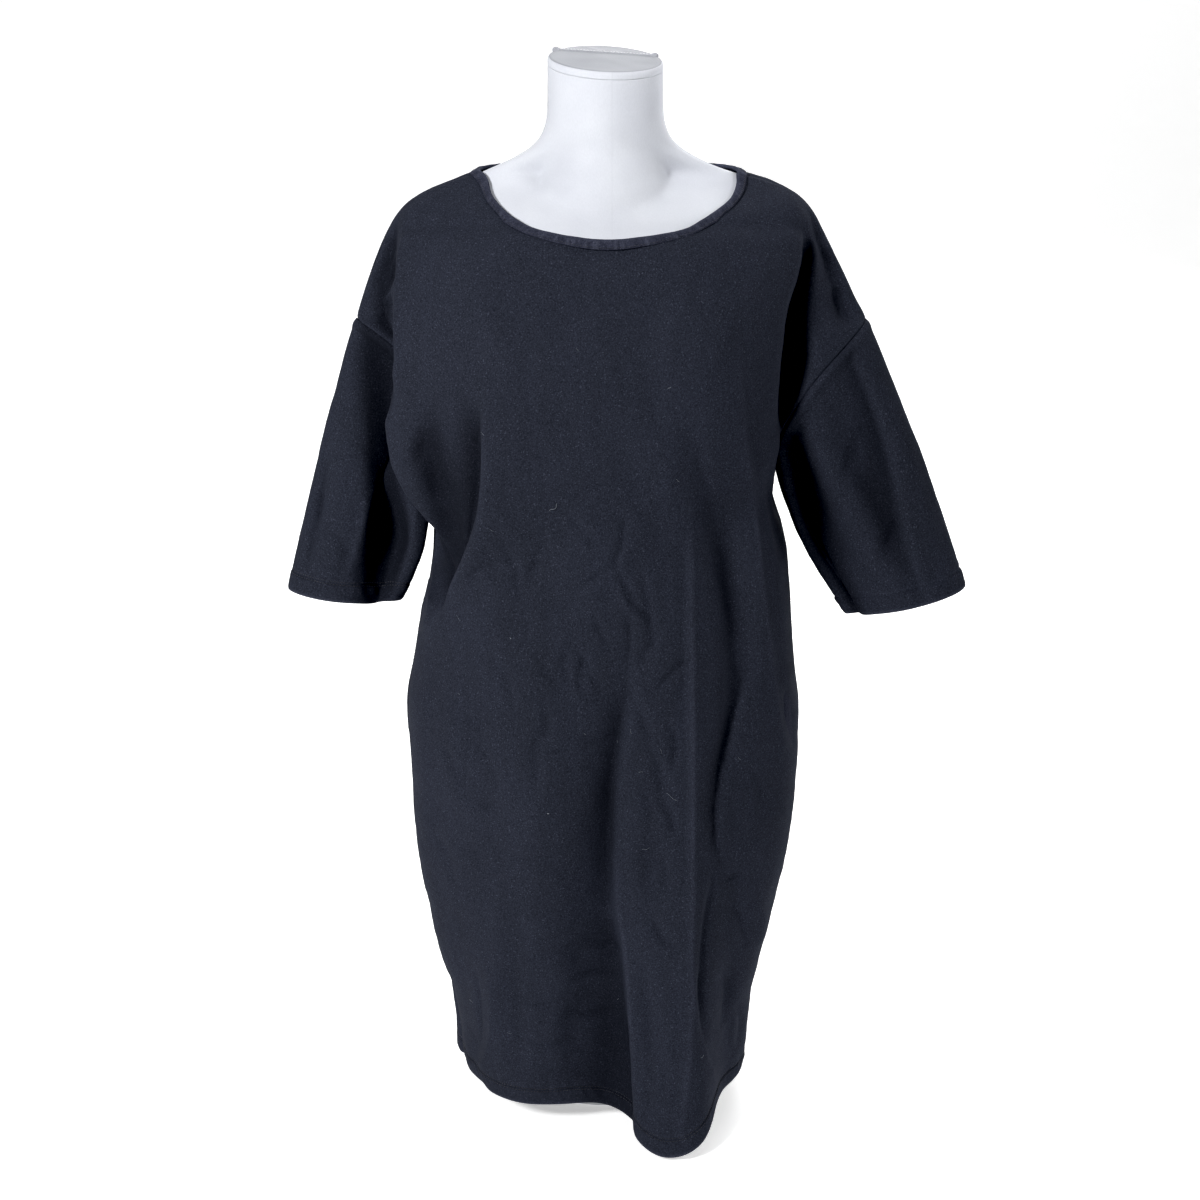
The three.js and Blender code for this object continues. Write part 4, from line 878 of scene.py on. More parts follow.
def cloth_material(name, deep, pale, worn_and_highlight):
    """Brushed cotton sweatshirting: melange grain, uneven fading, fuzz and worn edges, with a
    painted highlight along pressed ridges and painted shade in deep folds.
    """
    p = Paint(name, Roughness=0.95, Sheen_Weight=0.03, Sheen_Roughness=0.5)
    p.shader.inputs["Specular IOR Level"].default_value = 0.08
    p.shader.inputs["Sheen Tint"].default_value = rgb(150, 158, 185)
    clouds = p.noise(0.085, 3, 0.55, (1, 1, 1.7))
    streaks = p.noise(0.012, 3, 0.6, (1, 1, 7))
    grain = p.noise(0.0014, 2, 0.6)
    fine = p.noise(0.0007, 1, 0.6, (1, 1, 1.6))
    fading = p.math("ADD", p.math("MULTIPLY", p.between(clouds, 0.32, 0.68), 0.6),
                    p.math("MULTIPLY", p.between(streaks, 0.3, 0.7), 0.4))
    colour = p.mix(fading, deep, pale)
    speckle = p.math("ADD", p.between(grain, 0.25, 0.75, 0.64, 1.30),
                     p.between(fine, 0.25, 0.75, -0.20, 0.20))
    colour = p.shaded(colour, speckle)
    flecks = p.between(p.noise(0.0013, 0, 0.5), 0.70, 0.80)
    colour = p.mix(p.math("MULTIPLY", flecks, 0.5), colour, worn_and_highlight)
    wear_and_painted_light = p.add("Attribute", attribute_name="wear_and_painted_light", out=2)
    # Above zero the attribute pales the cloth: rub wear at edges, and a painted highlight on
    # pressed ridges.
    rub_and_ridge_highlight = p.math("MULTIPLY", wear_and_painted_light, p.between(grain, 0.3, 0.7, 0.35, 1.0))
    colour = p.mix(rub_and_ridge_highlight, colour, worn_and_highlight)
    # Below zero the attribute darkens the colour: painted shade in deep folds.
    colour = p.shaded(colour, p.between(wear_and_painted_light, -1.0, 0.0, PAINTED_SHADE_TONE, 1.0))
    p.link(colour, "Base Color")
    p.link(p.between(clouds, 0.3, 0.7, 0.97, 0.87), "Roughness")
    knit = p.math("ADD", p.math("MULTIPLY", grain, 0.7), p.math("MULTIPLY", fine, 0.5))
    low = p.bump(p.noise(0.011, 3, 0.6), 0.35, 0.0012)
    p.link(p.bump(knit, 0.55, 0.0008, low), "Normal")
    return p.material


def jersey_material(name, light, shade, seams=()):
    """Smooth knitted jersey drawn tight, with its rows of loops and faint seams."""
    p = Paint(name, Roughness=0.85, Sheen_Weight=0.12, Sheen_Roughness=0.5)
    p.shader.inputs["Specular IOR Level"].default_value = 0.2
    clouds = p.noise(0.06, 2, 0.5)
    grain = p.noise(0.0011, 2, 0.6, (1, 1, 2.2))
    colour = p.mix(p.between(clouds, 0.3, 0.7), light, shade)
    colour = p.shaded(colour, p.between(grain, 0.25, 0.75, 0.965, 1.02))
    height = p.math("MULTIPLY", grain, 0.5)
    across = p.add("SeparateXYZ", {0: p.place})
    for at in seams:
        beside = p.math("ABSOLUTE", p.math("SUBTRACT", across, at))
        line = p.between(beside, 0.0, 0.0011, 1.0, 0.0)
        height = p.math("SUBTRACT", height, p.math("MULTIPLY", line, 0.25))
        colour = p.mix(p.math("MULTIPLY", line, 0.04), colour, rgb(120, 122, 128))
    p.link(colour, "Base Color")
    p.link(p.bump(height, 0.5, 0.0006), "Normal")
    return p.material


def steel_material(name, tone, rough):
    """Satin steel with fine turning marks."""
    p = Paint(name, Metallic=1.0)
    marks = p.noise(0.004, 3, 0.6, (12, 12, 0.12))
    smudge = p.noise(0.05, 3, 0.6)
    p.link(p.mix(p.between(smudge, 0.3, 0.7), tone, [0.86 * v for v in tone[:3]] + [1]),
           "Base Color")
    p.link(p.between(marks, 0.2, 0.8, rough - 0.07, rough + 0.1), "Roughness")
    p.link(p.bump(marks, 0.12, 0.0003), "Normal")
    return p.material


def thread_material(name, light, dark):
    p = Paint(name, Roughness=0.7, Sheen_Weight=0.2)
    twist = p.noise(0.0007, 1, 0.5, (1, 1, 0.6))
    p.link(p.mix(p.between(twist, 0.3, 0.7), light, dark), "Base Color")
    p.link(p.bump(twist, 0.4, 0.0002), "Normal")
    return p.material


cloth = cloth_material("charcoal_sweatshirting", (0.0345, 0.0378, 0.0500, 1),
                       (0.0400, 0.0440, 0.0600, 1), (0.105, 0.112, 0.150, 1))
band_cloth = cloth_material("charcoal_rib", (0.036, 0.039, 0.055, 1),
                            (0.055, 0.058, 0.082, 1), (0.120, 0.128, 0.168, 1))
pocket_cloth = cloth_material("charcoal_pocketing", (0.028, 0.030, 0.043, 1),
                              (0.046, 0.050, 0.071, 1), (0.09, 0.096, 0.13, 1))
jersey = jersey_material("form_jersey", rgb(202, 204, 209), rgb(194, 196, 202), (0.006,))
cap_jersey = jersey_material("cap_jersey", rgb(166, 168, 173), rgb(150, 152, 158))
cap_back = jersey_material("cap_back_jersey", rgb(172, 173, 178), rgb(154, 156, 162))
pole_steel = steel_material("pole_steel", (0.62, 0.63, 0.65, 1), 0.3)
base_steel = steel_material("base_steel", (0.58, 0.59, 0.61, 1), 0.36)
dark_thread = thread_material("dark_thread", (0.026, 0.028, 0.038, 1), (0.014, 0.015, 0.021, 1))
white_thread = thread_material("white_thread", rgb(238, 238, 240), rgb(205, 206, 210))
lint = thread_material("pale_lint", (0.33, 0.35, 0.38, 1), (0.22, 0.24, 0.27, 1))

# ---- Base grids of the cloth ----


def half_columns():
    half = [i + k / count for i, count in enumerate(HALF_COLUMNS) for k in range(count)]
    return sorted(half + EDGE_COLUMNS + [5.0])


half_u = half_columns()
PANEL_U = np.array([-u for u in half_u[:0:-1]] + half_u)
armhole_turns = np.arange(ARMHOLE_STEPS + 1) / ARMHOLE_STEPS
armhole_levels = ARMHOLE_MIDDLE - ARMHOLE_HALF * np.cos(np.pi * armhole_turns)
LEVELS = np.concatenate([
    np.linspace(HEM, TURN_UP_TOP, TURN_UP_ROWS, endpoint=False),
    np.linspace(TURN_UP_TOP, UNDERARM, SKIRT_ROWS, endpoint=False),
    armhole_levels,
    np.linspace(ARMHOLE_TOP, SHOULDER_BEND, 34, endpoint=False)[1:],
    np.linspace(SHOULDER_BEND, SHOULDER_POINT, 18),
])
SLEEVE_TURNS = np.arange(4 * ARMHOLE_STEPS) / (2 * ARMHOLE_STEPS)
SLEEVE_DROPS = np.concatenate([
    [0, 0.005, 0.011, 0.018, 0.026], np.linspace(0.036, 0.895, 72, endpoint=False),
    np.linspace(0.895, 1, 26)])


def panel_base(face):
    u, level = np.meshgrid(PANEL_U, LEVELS)
    return softened(panel_points(face, u, level), *PANEL_SMOOTHING)


def sleeve_base(side):
    turn, drop = np.meshgrid(SLEEVE_TURNS, SLEEVE_DROPS)
    return softened(sleeve_points(side, turn, drop), *SLEEVE_SMOOTHING, ring=True)


panels = {face: panel_base(face) for face in FACES}
sleeves = {side: sleeve_base(side) for side in SIDES}
panel_normals = {face: grid_normals(grid, face == "back") for face, grid in panels.items()}
sleeve_normals = {side: grid_normals(grid, side == "left", ring=True)
                  for side, grid in sleeves.items()}


def share_seam_normals(side):
    """Gives the panels' and the sleeve's edges one direction at each place of the armhole."""
    normals = sleeve_normals[side][0].copy()
    edge = 0 if side == "left" else -1
    steps = 2 * ARMHOLE_STEPS
    rows = {}
    for face in FACES:
        for k in range(ARMHOLE_STEPS + 1):
            row = FIRST_ARMHOLE_ROW + ARMHOLE_STEPS - k
            turn = 2 * k if face == "front" else (2 * steps - 2 * k) % (2 * steps)
            rows[face, row] = turn
            normals[turn] += panel_normals[face][row, edge]
    normals = unit(normals)
    normals[1::2] = unit(normals[0::2] + np.roll(normals[0::2], -1, 0))
    normals = unit(smoothed(normals, 2.0, 0, ring=True))
    sleeve_normals[side][0] = normals
    for (face, row), turn in rows.items():
        panel_normals[face][row, edge] = normals[turn]


for side in SIDES:
    share_seam_normals(side)
# Along the side and shoulder seams both panels face level, so that their edges meet.
below_armhole = slice(0, FIRST_ARMHOLE_ROW)
above_armhole = slice(FIRST_ARMHOLE_ROW + ARMHOLE_STEPS + 1, None)
for face in FACES:
    for edge in (0, -1):
        for rows in (below_armhole, above_armhole):
            flat = panel_normals[face][rows, edge]
            flat[:, 1] = 0
            panel_normals[face][rows, edge] = unit(flat)

# ---- Front and back ----


def pocket_opening(face, side_distance, x, z):
    """The pocket mouths stand a little open in the side seams, with two topstitched rows."""
    height = fade(POCKET["bottom"] - 6, POCKET["bottom"] + 10, z) * (
        1 - fade(POCKET["top"] - 10, POCKET["top"] + 6, z))
    if face == "back":
        return -0.8 * height * bell(side_distance, 6)
    lip = 2.6 * height * bell(side_distance, 7)
    rows = sum(-0.75 * bell(side_distance, 1.5, at) for at in MOUTH_ROWS)
    return lip + rows * height


def panel_shell(face):
    base, normals = panels[face], panel_normals[face]
    x, z = base[..., 0], base[..., 2]
    up = arc_lengths(base, 0)
    along = arc_lengths(base, 1)
    distance = np.minimum(along, along[:, -1:] - along)
    hold = fade(0, 10, distance)
    creases = FRONT_CREASES if face == "front" else BACK_CREASES
    out = crease_out(x, z, creases) * hold * (1 if face == "front" else BACK_CREASE_SHARE)
    # Painted shade: the deeper a fold goes in, the darker its colour is made.
    painted_shade = fade(*PAINTED_SHADE_DEPTHS, -out)
    seed = RANDOM_SEED + (0 if face == "front" else 100)
    calm = fade(0, 30, up) * 0.6 + 0.4
    out += hold * calm * (0.9 * waves(seed, x, z, 95, 2.2) + 0.48 * waves(seed + 1, x, z, 34, 1.6)
                          + 0.14 * waves(seed + 2, x, z, 13, 1.2))
    out += sewn_hem(along, up, HEM_WIDTH, seed + 3) + seam_roll(distance)
    out += pocket_opening(face, distance, x, z)
    below_neck = up[-1:] - up
    out -= 0.8 * bell(below_neck - BAND_WIDTH, 2.5, 1) * (below_neck > 2)
    outer = base + normals * out[..., None]
    # A fold that goes in hangs a little lower at the hem, so the hem's edge stays level.
    share, gone = HEM_DROP
    outer[..., 2] += share * np.minimum(out, 0) * (1 - fade(0, gone, up))
    inner = outer - normals * thickness(out, base, up, HEM_WIDTH)
    wear_and_painted_light = worn_edges(up, HEM_WIDTH, distance)
    # Pressed ridges on the front are made paler: partly rub wear, partly a painted highlight.
    if face == "front":
        ridges = [(path, 2.2, 2.2, 0.12, 1.5) for path, _, _, strength, sharp in FRONT_CREASES
                  if strength > 0 and sharp <= 1.2]
        wear_and_painted_light += crease_out(x, z, ridges)
    wear_and_painted_light -= painted_shade
    rub = bell(distance, 3, 2) * ((z > POCKET["bottom"]) & (z < POCKET["top"] + 3))
    wear_and_painted_light = wear_and_painted_light + 0.35 * rub
    uvs = np.stack([along - along[:, -1:] / 2, up], -1)
    order = slice(None, None, -1 if face == "back" else 1)
    piece = shell(f"dress_{face}", outer[:, order], inner[:, order], cloth,
                  uvs=uvs[:, order], wear_and_painted_light=wear_and_painted_light[:, order])
    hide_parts(f"{face}_panel")
    return piece, outer, up, distance


front, front_outer, front_up, front_distance = panel_shell("front")
back, back_outer, back_up, _ = panel_shell("back")

# ---- Sleeves ----


def sleeve_shell(side):
    base, normals = sleeves[side], sleeve_normals[side]
    turn, drop = np.meshgrid(SLEEVE_TURNS, SLEEVE_DROPS)
    around, down = turn * SLEEVE_AROUND, drop * SLEEVE_ALONG
    from_top = arc_lengths(base, 0)
    from_cuff = from_top[-1:] - from_top
    out = crease_out(around, down, SLEEVE_CREASES[side], wrap=2 * SLEEVE_AROUND)
    # Painted shade: the deeper a fold goes in, the darker its colour is made.
    painted_shade = fade(*PAINTED_SHADE_DEPTHS, -out)
    seed = RANDOM_SEED + (200 if side == "left" else 300)
    circle = turn * np.pi
    wx, wy = SLEEVE_RADIUS * np.cos(circle), SLEEVE_RADIUS * np.sin(circle)
    swell = (waves(seed, wx, down, 80, 2.2) + 0.45 * waves(seed + 1, wy, down, 34, 1.8)
             + 0.12 * waves(seed + 2, wx + wy, down, 14, 1.4))
    out += 0.8 * swell
    out *= fade(0, 18, from_top)
    ring_length = arc_lengths(base, 1)
    out += sewn_hem(ring_length, from_cuff, CUFF_WIDTH, seed + 3) + seam_roll(from_top)
    # The sleeve's own seam runs along the underarm.
    beside = np.abs(turn - 1) * SLEEVE_AROUND
    out += -0.9 * bell(beside, 2.5) + 0.4 * bell(beside, 3, 7)
    outer = base + normals * out[..., None]
    # A fold that goes in hangs a little lower at the cuff, so the cuff's edge stays level.
    share, gone = CUFF_DROP
    outer[..., 2] += share * np.minimum(out, 0) * (1 - fade(0, gone, from_cuff))
    inner = outer - normals * thickness(out, base, from_cuff, CUFF_WIDTH)
    # Worn edges are paler, and deep folds are darkened by painted shade.
    wear_and_painted_light = worn_edges(from_cuff, CUFF_WIDTH, from_top) - painted_shade
    uvs = np.stack([around, down], -1)
    # Rows run from armhole to cuff, so turning them over makes the outside face out.
    order = slice(None, None, -1 if side == "left" else 1)
    outer_up, inner_up, wear_and_painted_light_up, uvs_up = (a[::-1, order] for a in (outer, inner, wear_and_painted_light, uvs))
    piece = shell(f"dress_sleeve_{side}", outer_up, inner_up, cloth, ring=True,
                  uvs=uvs_up, wear_and_painted_light=wear_and_painted_light_up)
    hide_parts(f"sleeve_{side}")
    return piece, outer, from_cuff


sleeve_left, left_outer, left_from_cuff = sleeve_shell("left")
sleeve_right, right_outer, right_from_cuff = sleeve_shell("right")

# ---- Neck band ----

# Outline of the turned edge: down from the neckline and out of the cloth.
BAND_OUTLINE = [
    (9.2, 0.1), (8.9, 0.9), (7.6, 1.35), (5.2, 1.6), (2.8, 1.65), (0.8, 1.5), (-0.6, 0.9),
    (-1.0, -0.2), (-0.6, -1.2), (0.8, -1.9), (3.5, -2.0), (6.0, -1.8), (6.6, -1.0),
]
BAND_STEP = 1.15
BAND_STITCHES = 7.6     # how far down the band they lie


def neck_edge():
    """Points round the neckline with the directions down the cloth and out of it."""
    found = []
    for face, us in (("front", np.linspace(-5, 5, 500)), ("back", np.linspace(5, -5, 500))):
        u, level = np.meshgrid(us, [SHOULDER_POINT - 9, SHOULDER_POINT - 4, SHOULDER_POINT])
        grid = smoothed(panel_points(face, u, level), 6, 1)
        down = unit(grid[0] - grid[2])
        along = unit(np.gradient(grid[2], axis=0))
        found.append(np.concatenate([grid[2], down, unit(np.cross(along, -down))], 1)[:-1])
    ring = np.concatenate(found)
    length = np.concatenate([[0], np.cumsum(np.linalg.norm(
        np.diff(np.concatenate([ring[:, :3], ring[:1, :3]]), axis=0), axis=1))])
    places = np.linspace(0, length[-1], round(length[-1] / BAND_STEP), endpoint=False)
    closed = np.concatenate([ring, ring[:1]])
    fine = np.stack([np.interp(places, length, closed[:, k]) for k in range(9)], -1)
    fine = smoothed(fine, 3, 0, ring=True)
    return places, fine[:, :3], unit(fine[:, 3:6]), unit(fine[:, 6:9])


def neck_band():
    places, edge, down, outward = neck_edge()
    pucker = waves(RANDOM_SEED + 5, places, 0 * places, 6.2, count=10)
    swell = waves(RANDOM_SEED + 6, places, 0 * places, 24, count=8)
    rings = []
    for v, w in BAND_OUTLINE:
        out = np.full(len(places), float(w))
        if w > 0:       # the outside, with its ribs and the groove of its stitches
            out += (0.40 * pucker + 0.10 * swell) * bell(v, 4, 5.5)
            out -= 0.35 * bell(v, 1.0, BAND_STITCHES)
        reach = v + 0.12 * swell
        rings.append(edge + down * reach[:, None] + outward * out[:, None])
    grid = np.stack(rings)
    count, around = len(places), len(BAND_OUTLINE)
    at = closed(np.arange(count * around).reshape(around, count))
    faces = cells(np.concatenate([at, at[:1]])).tolist()
    v_place = np.repeat([v for v, _ in BAND_OUTLINE], count)
    uvs = np.stack([np.tile(places, around), v_place], -1)
    ribs = np.clip(0.05 + 0.25 * pucker, 0, 0.5)
    wear_and_painted_light = np.concatenate([np.full(count, 0.32) if v < 1 else ribs for v, _ in BAND_OUTLINE])
    piece = add_mesh("dress_neck_band", grid.reshape(-1, 3), faces, band_cloth, uvs, wear_and_painted_light)
    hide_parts("neck_band")
    return piece, edge, down, outward


band, band_edge, band_down, band_out = neck_band()

# ---- Pocket bags ----


def pocket_bag(side):
    columns = np.linspace(4.5, 2, 48)
    u = np.sort(columns * SIGN[side])
    inward = (4.5 - np.abs(u)) / 2.5
    sag = np.sin(np.pi * (0.5 + POCKET["round"] * (inward - 0.5)))
    bottom = POCKET["bottom"] + (POCKET["bag"] - POCKET["bottom"]) * sag
    top = POCKET["top"] - POCKET["slope"] * inward
    share = np.linspace(0, 1, 60)[:, None]
    level = bottom + (top - bottom) * share
    grid = softened(panel_points("front", np.broadcast_to(u, level.shape), level), 2, 2)
    normals = grid_normals(grid, False)
    across, up = arc_lengths(grid, 1), arc_lengths(grid, 0)
    rim = np.minimum(np.minimum(up, up[-1:] - up), np.minimum(across, across[:, -1:] - across))
    quilt = waves(RANDOM_SEED + 400, grid[..., 0], grid[..., 2], 40, 1.5)
    depth = POCKET["clear"] + 0.3 * quilt * fade(0, 20, rim)
    seam = 0.4 * bell(rim, 1.4, 8)
    outer = grid - normals * (depth + seam)[..., None]
    inner = outer - normals * (CLOTH - 0.4 * bell(rim, 1.2) - seam)[..., None]
    uvs = np.stack([across, up], -1)
    piece = shell(f"pocket_{side}", outer, inner, pocket_cloth, uvs=uvs)
    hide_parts(f"pocket_bag_{side}")
    return piece


pocket_left = pocket_bag("left")
pocket_right = pocket_bag("right")

# ---- Form and stand ----


def shoulder_reach(z, cosine, sine):
    """The form's reach below its neck: its own table low down, then the dress less a gap."""
    front = sine < 0
    covered = np.minimum(z + FORM_INSET, SHOULDER_POINT)

    def body(column):
        return at_height(BODY, column, covered) - FORM_INSET

    across = np.minimum(np.where(cosine < 0, body(1), body(2)), at_height(NECK, 2, z))
    deep_table = np.where(front, at_height(NECK, 3, z), at_height(NECK, 4, z))
    deep_body = np.where(front, body(3), body(4))
    deep = np.where(z + FORM_INSET > SHOULDER_POINT, deep_table, deep_body)
    low = z <= TORSO[-1, 0]
    across = np.where(low, at_height(TORSO, 1, z), across)
    low_face = np.where(front, at_height(TORSO, 2, z), at_height(TORSO, 3, z))
    return 1 / np.hypot(cosine / across, sine / np.where(low, low_face, deep))


def form_points(z, angle):
    cosine, sine = np.cos(angle), np.sin(angle)
    neck = at_height(NECK, 1, z)
    shoulder = shoulder_reach(z, cosine, sine)
    blended = (shoulder ** BLEND_POWER + neck ** BLEND_POWER) ** (1 / BLEND_POWER)
    reach = np.where(z < NECK[0, 0], shoulder, blended)
    return np.stack([reach * cosine, reach * sine, z], -1)


def lofted(name, rings, material):
    """A closed body through rings of points that run anticlockwise from above."""
    count = rings[..., 0].size
    at = closed(np.arange(count).reshape(rings.shape[:2]))
    bottom, top = at[0].tolist(), at[-1].tolist()
    faces = cells(at).tolist()
    faces += [[b, a, count] for a, b in zip(bottom, bottom[1:])]
    faces += [[a, b, count + 1] for a, b in zip(top, top[1:])]
    middles = [rings[0].mean(0), rings[-1].mean(0)]
    return add_mesh(name, np.concatenate([rings.reshape(-1, 3), middles]), faces, material)


FORM_SIDES = 192
FORM_TOP = 0.9995       # the form's top ring is this much of the cap's, and lies inside it
form_even = round_angles(FORM_SIDES)
form_angles = np.arctan2(0.7 * np.sin(form_even), np.cos(form_even))


def cap_height(x, y):
    return NECK_TOP + CAP_TILT * y + CAP_ROLL * x


def neck_rim():
    return form_points(np.full(FORM_SIDES, float(NECK_TOP)), form_angles)


def make_form():
    levels = np.concatenate([
        [262, 263, 265, 268], np.linspace(273, 900, 60), np.linspace(904, 1000, 49),
        np.linspace(1005, 1040, 10)])
    angle, z = np.meshgrid(form_angles, levels)
    grid = softened(form_points(z, angle), 1.5, 2.0, ring=True)
    top = neck_rim()
    top[:, 2] = cap_height(top[:, 0], top[:, 1]) - 0.6
    below = grid[-1]
    rings = [below + (top - below) * s for s in (0.35, 0.7, 0.94, 1)]
    rings[-1][:, :2] *= FORM_TOP
    return lofted("form_body", np.concatenate([grid, np.stack(rings)]), jersey)


form = make_form()
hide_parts("form_torso")

# The neck's end is closed by a cover in two tones, drawn together along a sewn seam.
# The cap's rings are a share of the neck's rim and a lift above the tilted cut.
CAP_SEAM_Y = 21
CAP_SEAM_SLOPE = -0.06
CAP_RINGS = [(1.0, -0.6), (1.001, 0.8), (1.001, 3.4), (0.994, 5.2), (0.975, 6.3), (0.94, 6.8)]
CAP_RIM = 6.0           # the cap's faces below this are of the form's own jersey
EAR = {"at": 44, "radius": 3.9, "length": 6.5}


def make_cap():
    rim = neck_rim()
    rings = []
    for scale, lift in CAP_RINGS:
        x, y = rim[:, 0] * scale, rim[:, 1] * scale
        rings.append(np.stack([x, y, cap_height(x, y) + lift], -1))
    for scale in np.linspace(0.90, 0.03, 30):
        x, y = rim[:, 0] * scale, rim[:, 1] * scale
        beside = y - CAP_SEAM_Y - CAP_SEAM_SLOPE * x
        ridge = 1.3 * bell(beside, 1.6) - 0.9 * bell(beside, 2.6, 4)
        slack = 0.25 * waves(RANDOM_SEED + 7, x, y, 16, count=10)
        rings.append(np.stack([x, y, cap_height(x, y) + 6.6 + 0.3 * (1 - scale) + ridge
                               * (1 - fade(0.82, 0.95, scale)) + slack * (beside > 0)], -1))
    cap = lofted("form_cap", np.stack(rings), cap_jersey)
    for other in (cap_back, jersey):
        cap.data.materials.append(other)
    for face in cap.data.polygons:
        x, y, z = (v / MM for v in face.center)
        rim_face = z < cap_height(x, y) + CAP_RIM
        behind = y > CAP_SEAM_Y + CAP_SEAM_SLOPE * x
        face.material_index = 2 if rim_face else (1 if behind else 0)
    return cap


cap = make_cap()
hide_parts("form_neck_cap")


def lathe(name, profile, centre, material, sides=96):
    angle = round_angles(sides)
    rings = np.stack([np.stack([centre[0] + r * np.cos(angle), centre[1] + r * np.sin(angle),
                                np.full(sides, float(z))], -1) for r, z in profile])
    return lofted(name, rings, material)


pole = lathe("stand_pole", [(14.8, 8.4), (15.7, 9.0), (16, 10.2), (16, 120), (16, 258),
                            (15.6, 260.6), (14.6, 261.6)], (0, 18), pole_steel)
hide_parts("form_pole")
base = lathe("stand_base", [(96.4, 0), (97.6, 0.6), (98, 1.8), (98, 5.6), (97.5, 7.0),
                            (96.2, 7.8), (94, 8.0), (60, 8.0), (30, 8.0)], (0, 42), base_steel)
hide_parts("form_base")

# ---- Stitches, ears of the cap and lint ----


def capsules(name, starts, ends, radius, normals, material, sides=6):
    """One mesh of many short thread ends, each rounded and a little flattened."""
    along = unit(ends - starts)
    across = unit(np.cross(along, normals))
    above = np.cross(across, along)
    profile = [(0.0, 0.25), (0.18, 0.85), (0.5, 1.0), (0.82, 0.85), (1.0, 0.25)]
    angle = round_angles(sides)
    vertices, faces = [], []
    for start, end, aside, up in zip(starts, ends, across, above):
        faces += tube_faces(len(vertices), len(profile), sides)
        for share, scale in profile:
            middle = start + (end - start) * share
            lift = up * (radius * 0.9 * math.sin(math.pi * share))
            for a in angle:
                vertices.append(middle + lift + radius * scale * (
                    aside * math.cos(a) + up * 0.7 * math.sin(a)))
    return add_mesh(name, vertices, faces, material)


def along_path(points, normals, pitch, length, lift):
    """Starts, ends and normals of stitches at equal steps along a path."""
    gone = np.concatenate([[0], np.cumsum(np.linalg.norm(np.diff(points, axis=0), axis=1))])
    starts = np.arange(pitch * 0.5, gone[-1] - length, pitch)

    def at(places, values):
        return np.stack([np.interp(places, gone, values[:, k]) for k in range(3)], -1)

    n = unit(at(starts + length / 2, normals))
    return at(starts, points) + n * lift, at(starts + length, points) + n * lift, n


def line_at(outer, normals, distance, at):
    """The line across a grid's columns at a distance from their edge, with its normals."""
    line, facing = [], []
    for points, n, d in zip(*(np.swapaxes(a, 0, 1) for a in (outer, normals, distance))):
        order = np.argsort(d)
        line.append([np.interp(at, d[order], points[order, k]) for k in range(3)])
        facing.append(n[int(np.argmin(np.abs(d - at)))])
    return np.array(line), np.array(facing)


def hem_stitches(outer, up, width, flip, ring=False):
    normals = grid_normals(outer, flip, ring)
    found = []
    for height in (width - ROWS_APART, width + ROWS_APART):
        line, n = line_at(outer, normals, up, height)
        if ring:
            line, n = np.concatenate([line, line[:1]]), np.concatenate([n, n[:1]])
        found.append(along_path(line, n, *HEM_STITCH))
    return found


def pocket_stitches(outer, distance):
    """Two rows of topstitching beside each mouth, and a bar across each end of it."""
    z = outer[:, 0, 2]
    rows = np.where((z > POCKET["bottom"] - 2) & (z < POCKET["top"] + 2))[0]
    grids = [np.swapaxes(a[rows], 0, 1) for a in (outer, grid_normals(outer, False), distance)]
    middle = outer.shape[1] // 2
    found = []
    for columns in (slice(0, middle), slice(middle, None)):
        lines = [line_at(*(a[columns] for a in grids), at) for at in MOUTH_ROWS]
        found += [along_path(*line, *MOUTH_STITCH) for line in lines]
        (near, near_out), (far, _) = lines
        for end in (0, -1):
            bar = np.stack([2 * near[end] - far[end], far[end]])
            n = np.stack([near_out[end]] * 2)
            found += [along_path(bar + [0, 0, shift], n, *BAR_STITCH) for shift in BAR_SHIFTS]
    return found


def sew(name, runs, radius=THREAD, material=dark_thread):
    starts, ends, normals = (np.concatenate([run[k] for run in runs]) for k in range(3))
    return capsules(name, starts, ends, radius, normals, material)


front_stitches = sew("front_stitches", hem_stitches(front_outer, front_up, HEM_WIDTH, False)
                     + pocket_stitches(front_outer, front_distance))
back_stitches = sew("back_stitches", hem_stitches(back_outer, back_up, HEM_WIDTH, True))
# The left cuff's heights come from the mirrored column, which puts its rows up to 1.1 mm off.
left_stitches = sew("sleeve_left_stitches", hem_stitches(
    left_outer, left_from_cuff[:, ::-1], CUFF_WIDTH, True, True))
right_stitches = sew("sleeve_right_stitches", hem_stitches(
    right_outer, right_from_cuff, CUFF_WIDTH, True, True))
band_line = band_edge + band_down * BAND_STITCHES + band_out * 1.1
closed_line = np.concatenate([band_line, band_line[:1]])
closed_out = np.concatenate([band_out, band_out[:1]])
band_stitches = sew("neck_band_stitches", [along_path(closed_line, closed_out, *BAND_STITCH)],
                    BAND_THREAD)


def cap_seam():
    x = np.linspace(-41, 41, 60)
    y = CAP_SEAM_Y + CAP_SEAM_SLOPE * x
    line = np.stack([x, y, cap_height(x, y) + 8.1], -1)
    up = np.tile([0.0, 0.0, 1.0], (60, 1))
    return sew("cap_stitches", [along_path(line, up, *CAP_STITCH)], CAP_THREAD, white_thread)


